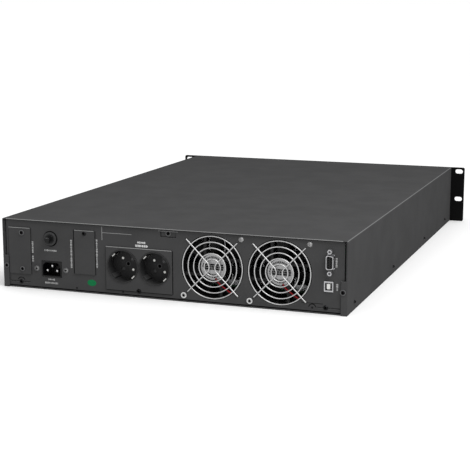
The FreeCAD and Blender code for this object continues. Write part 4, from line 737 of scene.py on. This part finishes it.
def make_leads():
    """A red and a black wire from each fan's stator to the duct wall, the black one a little aside."""
    for color, slot, shift in (("red", "lead_red", 0.0), ("black", "fan_plastic", 1.7)):
        mesh = bmesh.new()
        for number in (1, 2):
            centre = middle(f"fan_frame_{number}")
            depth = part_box(f"fan_frame_{number}")[1].y - LEAD_DEPTH
            points = []
            for x, z, y, aside_x, aside_z in LEAD_ROUTE:
                x, z = (x + shift * aside_x) * MM, (z + shift * aside_z) * MM
                points.append(Vector((centre.x + x, depth + y * MM, centre.z + z)))
            add_tube(mesh, curved_path(points), 0.75 * MM, 10)
        piece = finish_piece(f"fan_wires_{color}", mesh, PAINT[slot], "chassis")
        if color == "red":
            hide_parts("fan_leads")


OUTLET_RECESS = 17.5 * MM
OUTLET_PIN_REACH = 9.5
SHUTTER_DEPTH = 1.6 * MM


def make_outlet_shutters():
    """The shutters seen in the pin holes of the outlets, the upper one paler as a painted highlight and the
    lower one darker as painted shade, and the hole in the middle of each as a dark disc of painted shade,
    with a ring round it.
    """
    upper, lower, holes = bmesh.new(), bmesh.new(), bmesh.new()
    for number in (1, 2):
        centre = middle(f"outlet_{number}")
        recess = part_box(f"outlet_{number}")[1].y - OUTLET_RECESS
        x, z = centre.x / MM, centre.z / MM
        offset = OUTLET_PIN_REACH * math.sqrt(0.5)
        add_disc(upper, x - offset, z + offset, recess - SHUTTER_DEPTH, 2.6, 4.4, bevel=1.6)
        add_disc(lower, x + offset, z - offset, recess - SHUTTER_DEPTH, 2.5, 1.3, bevel=0.7)
        add_disc(holes, x, z, recess, 2.0, 0.08)
        add_hoop(lower, x, z, recess, 3.1, 2.1, 0.3)
    finish_piece("outlet_shutters_upper", upper, EXTRA["pale_highlight_grey"], "chassis")
    finish_piece("outlet_shutters_lower", lower, EXTRA["shade_grey"], "chassis")
    finish_piece("outlet_middle_holes", holes, EXTRA["gap_dark"], "chassis")


def make_usb_tongue():
    """The pale contact block in the mouth of the USB socket."""
    centre = middle("usb_port")
    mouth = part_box("usb_port")[1].y
    mesh = bmesh.new()
    place = Vector((centre.x + 0.4 * MM, mouth - 8.0 * MM, centre.z))
    add_slab(mesh, rounded_outline(3.9 * MM, 6.3 * MM, 0.5 * MM), place, "rear", 7.4 * MM, 0.3 * MM)
    finish_piece("usb_tongue", mesh, EXTRA["pale_plastic"], "chassis")
    mesh = bmesh.new()
    for side in (-1, 1):
        for level in (-1, 1):
            x = centre.x + (0.4 + side * 2.0) * MM
            strip = Vector((x, mouth - 7.5 * MM, centre.z + level * 1.4 * MM))
            add_slab(mesh, rounded_outline(0.25 * MM, 1.1 * MM, 0.1 * MM, 2), strip, "rear", 6.2 * MM)
    finish_piece("usb_contacts", mesh, PAINT["contact_metal"], "chassis")


LOWER_FAN_SCREWS = [(-21.15, 8.05), (-103.55, 8.05)]
INLET_SCREWS = [(134.0, 26.0), (174.0, 26.0)]
DARK_SCREWS = [
    (193.6, 69.4, "blank_plate", 3.0), (193.6, 24.1, "blank_plate", 2.6), (108.2, 73.7, "slot_cover", None),
    (215.2, 27.2, "top_cover", 2.7), (-215.2, 27.2, "top_cover", 3.0), (36.8, 7.6, "rear_panel", None),
    (196.5, 7.6, "rear_panel", None), (-194.7, 7.6, "rear_panel", None),
]
TAB_SCREW = (-1.5, 80.6)
TAB_DEPTH = 1.2 * MM
SIDE_SCREW_PLACES = [305.25, 103.25, -100.75, -263.75]
SIDE_SCREW_LEVEL = 9.4
HEAD_HEIGHT = 1.6 * MM
RECESS_SINK = 0.2 * MM
RECESS_RADIUS = 1.3


def make_screw_details():
    """Painted shade: a dark disc in each screw head for the shade in its recess. Painted highlight: a pale
    rim round some of them, whose radius is given in DARK_SCREWS.
    """
    recesses, silver, grey = bmesh.new(), bmesh.new(), bmesh.new()
    for x, z in LOWER_FAN_SCREWS + INLET_SCREWS:
        add_disc(recesses, x, z, PANEL_FACE + HEAD_HEIGHT - RECESS_SINK, 1.25, 0.28)
    for x, z in LOWER_FAN_SCREWS:
        add_hoop(silver, x, z, PANEL_FACE + 0.4 * MM, 3.5, 2.3, 0.9)
    for x, z in INLET_SCREWS:
        add_hoop(grey, x, z, PANEL_FACE + 0.4 * MM, 3.4, 2.6, 0.8)
    for x, z, node, rim in DARK_SCREWS:
        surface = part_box(node)[1].y
        add_disc(recesses, x, z, surface + HEAD_HEIGHT - RECESS_SINK, RECESS_RADIUS, 0.28)
        if rim:
            add_hoop(grey, x, z, surface + 0.3 * MM, rim + 0.3, rim - 0.5, 0.7)
    tab = PANEL_FACE - TAB_DEPTH
    add_disc(recesses, *TAB_SCREW, tab + HEAD_HEIGHT - RECESS_SINK, RECESS_RADIUS, 0.28)
    add_hoop(grey, *TAB_SCREW, tab + 0.3 * MM, 3.3, 2.4, 0.7)
    finish_piece("screw_recesses", recesses, EXTRA["gap_dark"], "chassis")
    finish_piece("screw_rims_bright", silver, EXTRA["highlight_silver"], "chassis")
    finish_piece("screw_rims_grey", grey, EXTRA["pale_highlight_grey"], "chassis")


def make_side_screw_recesses():
    """Painted shade: a dark disc in the head of each screw along the cover's sides, for the shade in its
    recess.
    """
    mesh = bmesh.new()
    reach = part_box("cover_screws")[1].x - 0.12 * MM
    outline = oval_outline(RECESS_RADIUS * MM, RECESS_RADIUS * MM, 24)
    for side, facing in ((-1, "right"), (1, "left")):
        for place in SIDE_SCREW_PLACES:
            centre = Vector((side * reach, place * MM, SIDE_SCREW_LEVEL * MM))
            add_slab(mesh, outline, centre, facing, 0.18 * MM)
    finish_piece("side_screw_recesses", mesh, EXTRA["gap_dark"], "chassis")


def make_gaps():
    """Painted shade: narrow dark strips on the panel face for the shade in the joints round the plates and
    along the foot of the rear panel.
    """
    mesh = bmesh.new()
    strips = [
        (122.7, 50.2, 1.3, 54.4), (94.0, 50.2, 0.7, 54.4), (181.7, 46.5, 0.5, 58.0),
        (36.8, 6.7, 86.0, 0.8), (-6.9, 33.5, 0.8, 52.6), (80.4, 33.5, 0.7, 52.6),
        (0.0, 2.3, 428.0, 1.1), (-178.5, 11.6, 26.0, 0.5),
    ]
    for x, z, width, height in strips:
        add_panel(mesh, x, z, PANEL_FACE, width, height, 0.06)
    finish_piece("panel_gaps", mesh, EXTRA["gap_dark"], "chassis", smooth=False)
    # Two dark arcs in the same painted shade, over a screw and a pip near the foot of the panel.
    mesh = bmesh.new()
    for x, z, radius, start, stop in ((196.5, 7.6, 5.2, 25, 155), (-178.8, 6.5, 4.2, 10, 170)):
        points = []
        for step in range(19):
            turn = math.radians(start + (stop - start) * step / 18)
            spot_x, spot_z = x + radius * math.cos(turn), z + radius * math.sin(turn)
            points.append((spot_x * MM, PANEL_FACE, spot_z * MM))
        add_tube(mesh, points, 0.45 * MM, 8, 0.5)
    finish_piece("panel_arcs", mesh, EXTRA["gap_dark"], "chassis")


def make_inlet_tips():
    """Painted glints: pale patches on the ends of the inlet's three blades."""
    mesh = bmesh.new()
    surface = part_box("inlet_pins")[1].y
    for x, z in ((154.0, 29.9), (160.6, 24.1), (147.4, 24.1)):
        add_panel(mesh, x, z, surface - 0.05 * MM, 2.1, 1.9, 0.15, radius=0.5)
    finish_piece("inlet_blade_tips", mesh, EXTRA["highlight_silver"], "chassis")


BREAKER_PLACE = (154.7, 64.0)
BUTTON_HIGHLIGHT_RADIUS = 2.6


def make_breaker_details():
    """Painted shade in a dark ring round the breaker's nut, and a painted highlight on its button as a pale
    arc.
    """
    mesh = bmesh.new()
    add_hoop(mesh, *BREAKER_PLACE, PANEL_FACE, 9.6, 8.4, 0.1)
    finish_piece("breaker_seat", mesh, EXTRA["gap_dark"], "chassis")
    mesh = bmesh.new()
    button_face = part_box("breaker_button")[1].y
    x, z = BREAKER_PLACE
    points = []
    for step in range(11):
        turn = math.radians(60 + 60 * step / 10)
        spot_x, spot_z = x + BUTTON_HIGHLIGHT_RADIUS * math.cos(turn), z + BUTTON_HIGHLIGHT_RADIUS * math.sin(turn)
        points.append((spot_x * MM, button_face, spot_z * MM))
    add_tube(mesh, points, 0.3 * MM, 8, 0.5)
    finish_piece("breaker_button_highlight", mesh, EXTRA["pale_highlight_grey"], "breaker_button")


SERIAL_PITCH = 2.77
SERIAL_POST_REACH = 12.5


def make_serial_pins():
    """The nine contact holes of the serial connector as dark discs of painted shade, and the faces of its two
    posts.
    """
    mesh = bmesh.new()
    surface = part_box("db9_insert")[1].y
    centre = middle("db9_insert") / MM
    for column, count in ((-1.4, 4), (1.4, 5)):
        for row in range(count):
            z = centre.z + (row - (count - 1) / 2) * SERIAL_PITCH
            add_disc(mesh, centre.x + column, z, surface, 0.55, 0.08)
    finish_piece("serial_contacts", mesh, EXTRA["gap_dark"], "chassis")
    mesh = bmesh.new()
    shell_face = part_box("db9_port")[1].y
    for side in (-1, 1):
        z = centre.z + side * SERIAL_POST_REACH
        add_hoop(mesh, centre.x, z, shell_face - 0.1 * MM, 2.5, 1.5, 0.2)
    finish_piece("serial_post_faces", mesh, PAINT["port_metal"], "chassis")


def make_dimples():
    """Pressed pips along the lower edge of the rear panel."""
    mesh = bmesh.new()
    for x, z in ((-178.8, 6.5), (58.0, 5.2), (120.0, 5.2)):
        place = Vector((x * MM, PANEL_FACE, z * MM))
        add_slab(mesh, oval_outline(1.3 * MM, 1.3 * MM, 20), place, "rear", 0.3 * MM, 0.2 * MM)
    finish_piece("panel_pips", mesh, PAINT["dark_screw"], "chassis")


# ------------------------------------------------------------------ front, drawer and inside details
def make_display():
    """Generic level bars and lines on the display, under its window."""
    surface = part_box("lcd_panel")[0].y
    centre = middle("lcd_panel") / MM
    mesh = bmesh.new()
    for first, count in ((-26.0, 5), (8.4, 3)):
        for step in range(count):
            x = centre.x + first + step * 4.4
            add_panel(mesh, x, centre.z + 9.0, surface, 3.2, 7.0, 0.04, "front", 0.4)
    width = 26.0
    for shift in (-17.2, 17.2):
        place = Vector(((centre.x + shift) * MM, surface, (centre.z + 9.0) * MM))
        outer = rounded_outline(width * MM, 10.4 * MM, 1.2 * MM, 3)
        inner = rounded_outline((width - 1.2) * MM, 9.2 * MM, 0.8 * MM, 3)
        add_ring(mesh, outer, inner, place, "front", 0.04 * MM)
    dice = random.Random(3)
    for rise, reach in ((-1.5, 27.0), (-6.5, 20.0), (-11.5, 24.0)):
        start = (centre.x - 27.0, centre.z + rise)
        end = (centre.x - 27.0 + 2 * reach, centre.z + rise)
        print_row(mesh, start, end, surface, dice, 2.4 * MM, "front")
    finish_piece("display_segments", mesh, EXTRA["display_ink"], "chassis", smooth=False)


def make_key_marks():
    """Plain marks on the keys: arrows, a dot in a ring, and a broken ring with a bar."""
    for name, tip in (("key_up", 1), ("key_down", -1)):
        mesh = bmesh.new()
        centre = middle(name)
        corners = [(0.0, 2.6 * tip), (-2.4 * tip, -1.6 * tip), (2.4 * tip, -1.6 * tip)]
        outline = [(u * MM, v * MM) for u, v in corners]
        place = Vector((centre.x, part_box(name)[0].y, centre.z))
        add_slab(mesh, outline, place, "front", PRINT_THICKNESS)
        finish_piece(name + "_mark", mesh, EXTRA["paper_white"], name, smooth=False)
    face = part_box("key_enter")[0].y
    centre = middle("key_enter")
    mesh = bmesh.new()
    add_hoop(mesh, centre.x / MM, centre.z / MM, face, 2.6, 2.0, 0.05, "front")
    add_disc(mesh, centre.x / MM, centre.z / MM, face, 0.9, 0.05, "front")
    finish_piece("key_enter_mark", mesh, EXTRA["paper_white"], "key_enter", smooth=False)
    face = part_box("power_button")[0].y
    centre = middle("power_button")
    mesh = bmesh.new()
    points = []
    for step in range(25):
        turn = math.radians(120 + 300 * step / 24)
        points.append((centre.x + 3.6 * MM * math.cos(turn), face, centre.z + 3.6 * MM * math.sin(turn)))
    add_tube(mesh, points, 0.4 * MM, 8, 0.12)
    add_panel(mesh, centre.x / MM, centre.z / MM + 3.2, face, 0.8, 4.2, 0.05, "front", 0.3)
    finish_piece("power_button_mark", mesh, EXTRA["paper_white"], "power_button", smooth=False)


BATTERY_COUNT = 6
LABEL_THICKNESS = 0.12 * MM
CAP_HEIGHT = 0.9 * MM


def make_battery_details():
    """A label, vent caps and two terminals on top of each battery."""
    labels, prints, caps, bases = bmesh.new(), bmesh.new(), bmesh.new(), bmesh.new()
    dice = random.Random(8)
    for number in range(1, BATTERY_COUNT + 1):
        low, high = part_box(f"battery_{number}")
        top = high.z
        centre = (low + high) / 2
        place = Vector((centre.x - 8 * MM, centre.y, top))
        add_slab(labels, rounded_outline(78 * MM, 46 * MM, 2 * MM), place, "up", LABEL_THICKNESS)
        for row in range(6):
            y = centre.y + (16 - row * 6.2) * MM
            x = centre.x - 43 * MM
            stop = centre.x + dice.uniform(5, 26) * MM
            while x < stop:
                dash = dice.uniform(2.0, 7.0) * MM
                outline = rounded_outline(dash, (4.0 if row == 0 else 2.2) * MM, 0.3 * MM, 2)
                add_slab(prints, outline, Vector((x + dash / 2, y, top + LABEL_THICKNESS)), "up", 0.04 * MM)
                x += dash + 1.4 * MM
        for step in range(6):
            spot = Vector((low.x + (16 + step * 15) * MM, high.y - 9 * MM, top))
            add_slab(caps, oval_outline(4.6 * MM, 4.6 * MM, 28), spot, "up", CAP_HEIGHT, 0.3 * MM)
            slot = rounded_outline(5.5 * MM, 0.9 * MM, 0.3 * MM, 2)
            add_slab(prints, slot, spot + Vector((0, 0, CAP_HEIGHT)), "up", 0.05 * MM)
        for y in (low.y + 9 * MM, low.y + 22 * MM):
            spot = Vector((high.x - 12 * MM, y, top))
            add_slab(bases, rounded_outline(9 * MM, 8 * MM, 1 * MM), spot, "up", 0.8 * MM, 0.2 * MM)
    finish_piece("battery_labels", labels, EXTRA["paper_white"], "battery_module")
    ink = EXTRA["print_dark"]
    finish_piece("battery_label_print", prints, ink, "battery_module", smooth=False)
    finish_piece("battery_vent_caps", caps, EXTRA["chip_black"], "battery_module")
    finish_piece("battery_terminal_bases", bases, EXTRA["battery_red"], "battery_module")


def make_board_parts():
    """Small components over the bare areas of the boards."""
    chips, pads, caps = bmesh.new(), bmesh.new(), bmesh.new()
    dice = random.Random(21)
    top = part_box("power_board")[1].z
    for column in range(9):
        for row in range(4):
            x = (-78 + column * 6.5 + dice.uniform(-1, 1)) * MM
            y = (64 + row * 11 + dice.uniform(-2, 2)) * MM
            spot = Vector((x, y, top))
            if dice.random() < 0.45:
                outline = rounded_outline(3.6 * MM, 4.6 * MM, 0.3 * MM, 2)
                add_slab(chips, outline, spot, "up", 1.4 * MM, 0.2 * MM)
            else:
                add_slab(pads, rounded_outline(1.6 * MM, 3.0 * MM, 0.2 * MM, 2), spot, "up", 0.7 * MM)
    for step in range(7):
        spot = Vector(((-84 + step * 11) * MM, 116 * MM, top))
        add_slab(caps, oval_outline(3.6 * MM, 3.6 * MM, 24), spot, "up", 9.0 * MM, 0.5 * MM)
    finish_piece("board_chips", chips, EXTRA["chip_black"], "chassis")
    finish_piece("board_pads", pads, EXTRA["pale_plastic"], "chassis")
    finish_piece("board_small_capacitors", caps, PAINT["capacitor_sleeve"], "chassis")


make_camera()
make_stage()
dress_frame()
make_panel_prints()
make_sticker()
make_beads()
make_fan_labels()
make_leads()
make_outlet_shutters()
make_usb_tongue()
make_dimples()
make_screw_details()
make_side_screw_recesses()
make_gaps()
make_inlet_tips()
make_breaker_details()
make_serial_pins()
make_display()
make_key_marks()
make_battery_details()
make_board_parts()
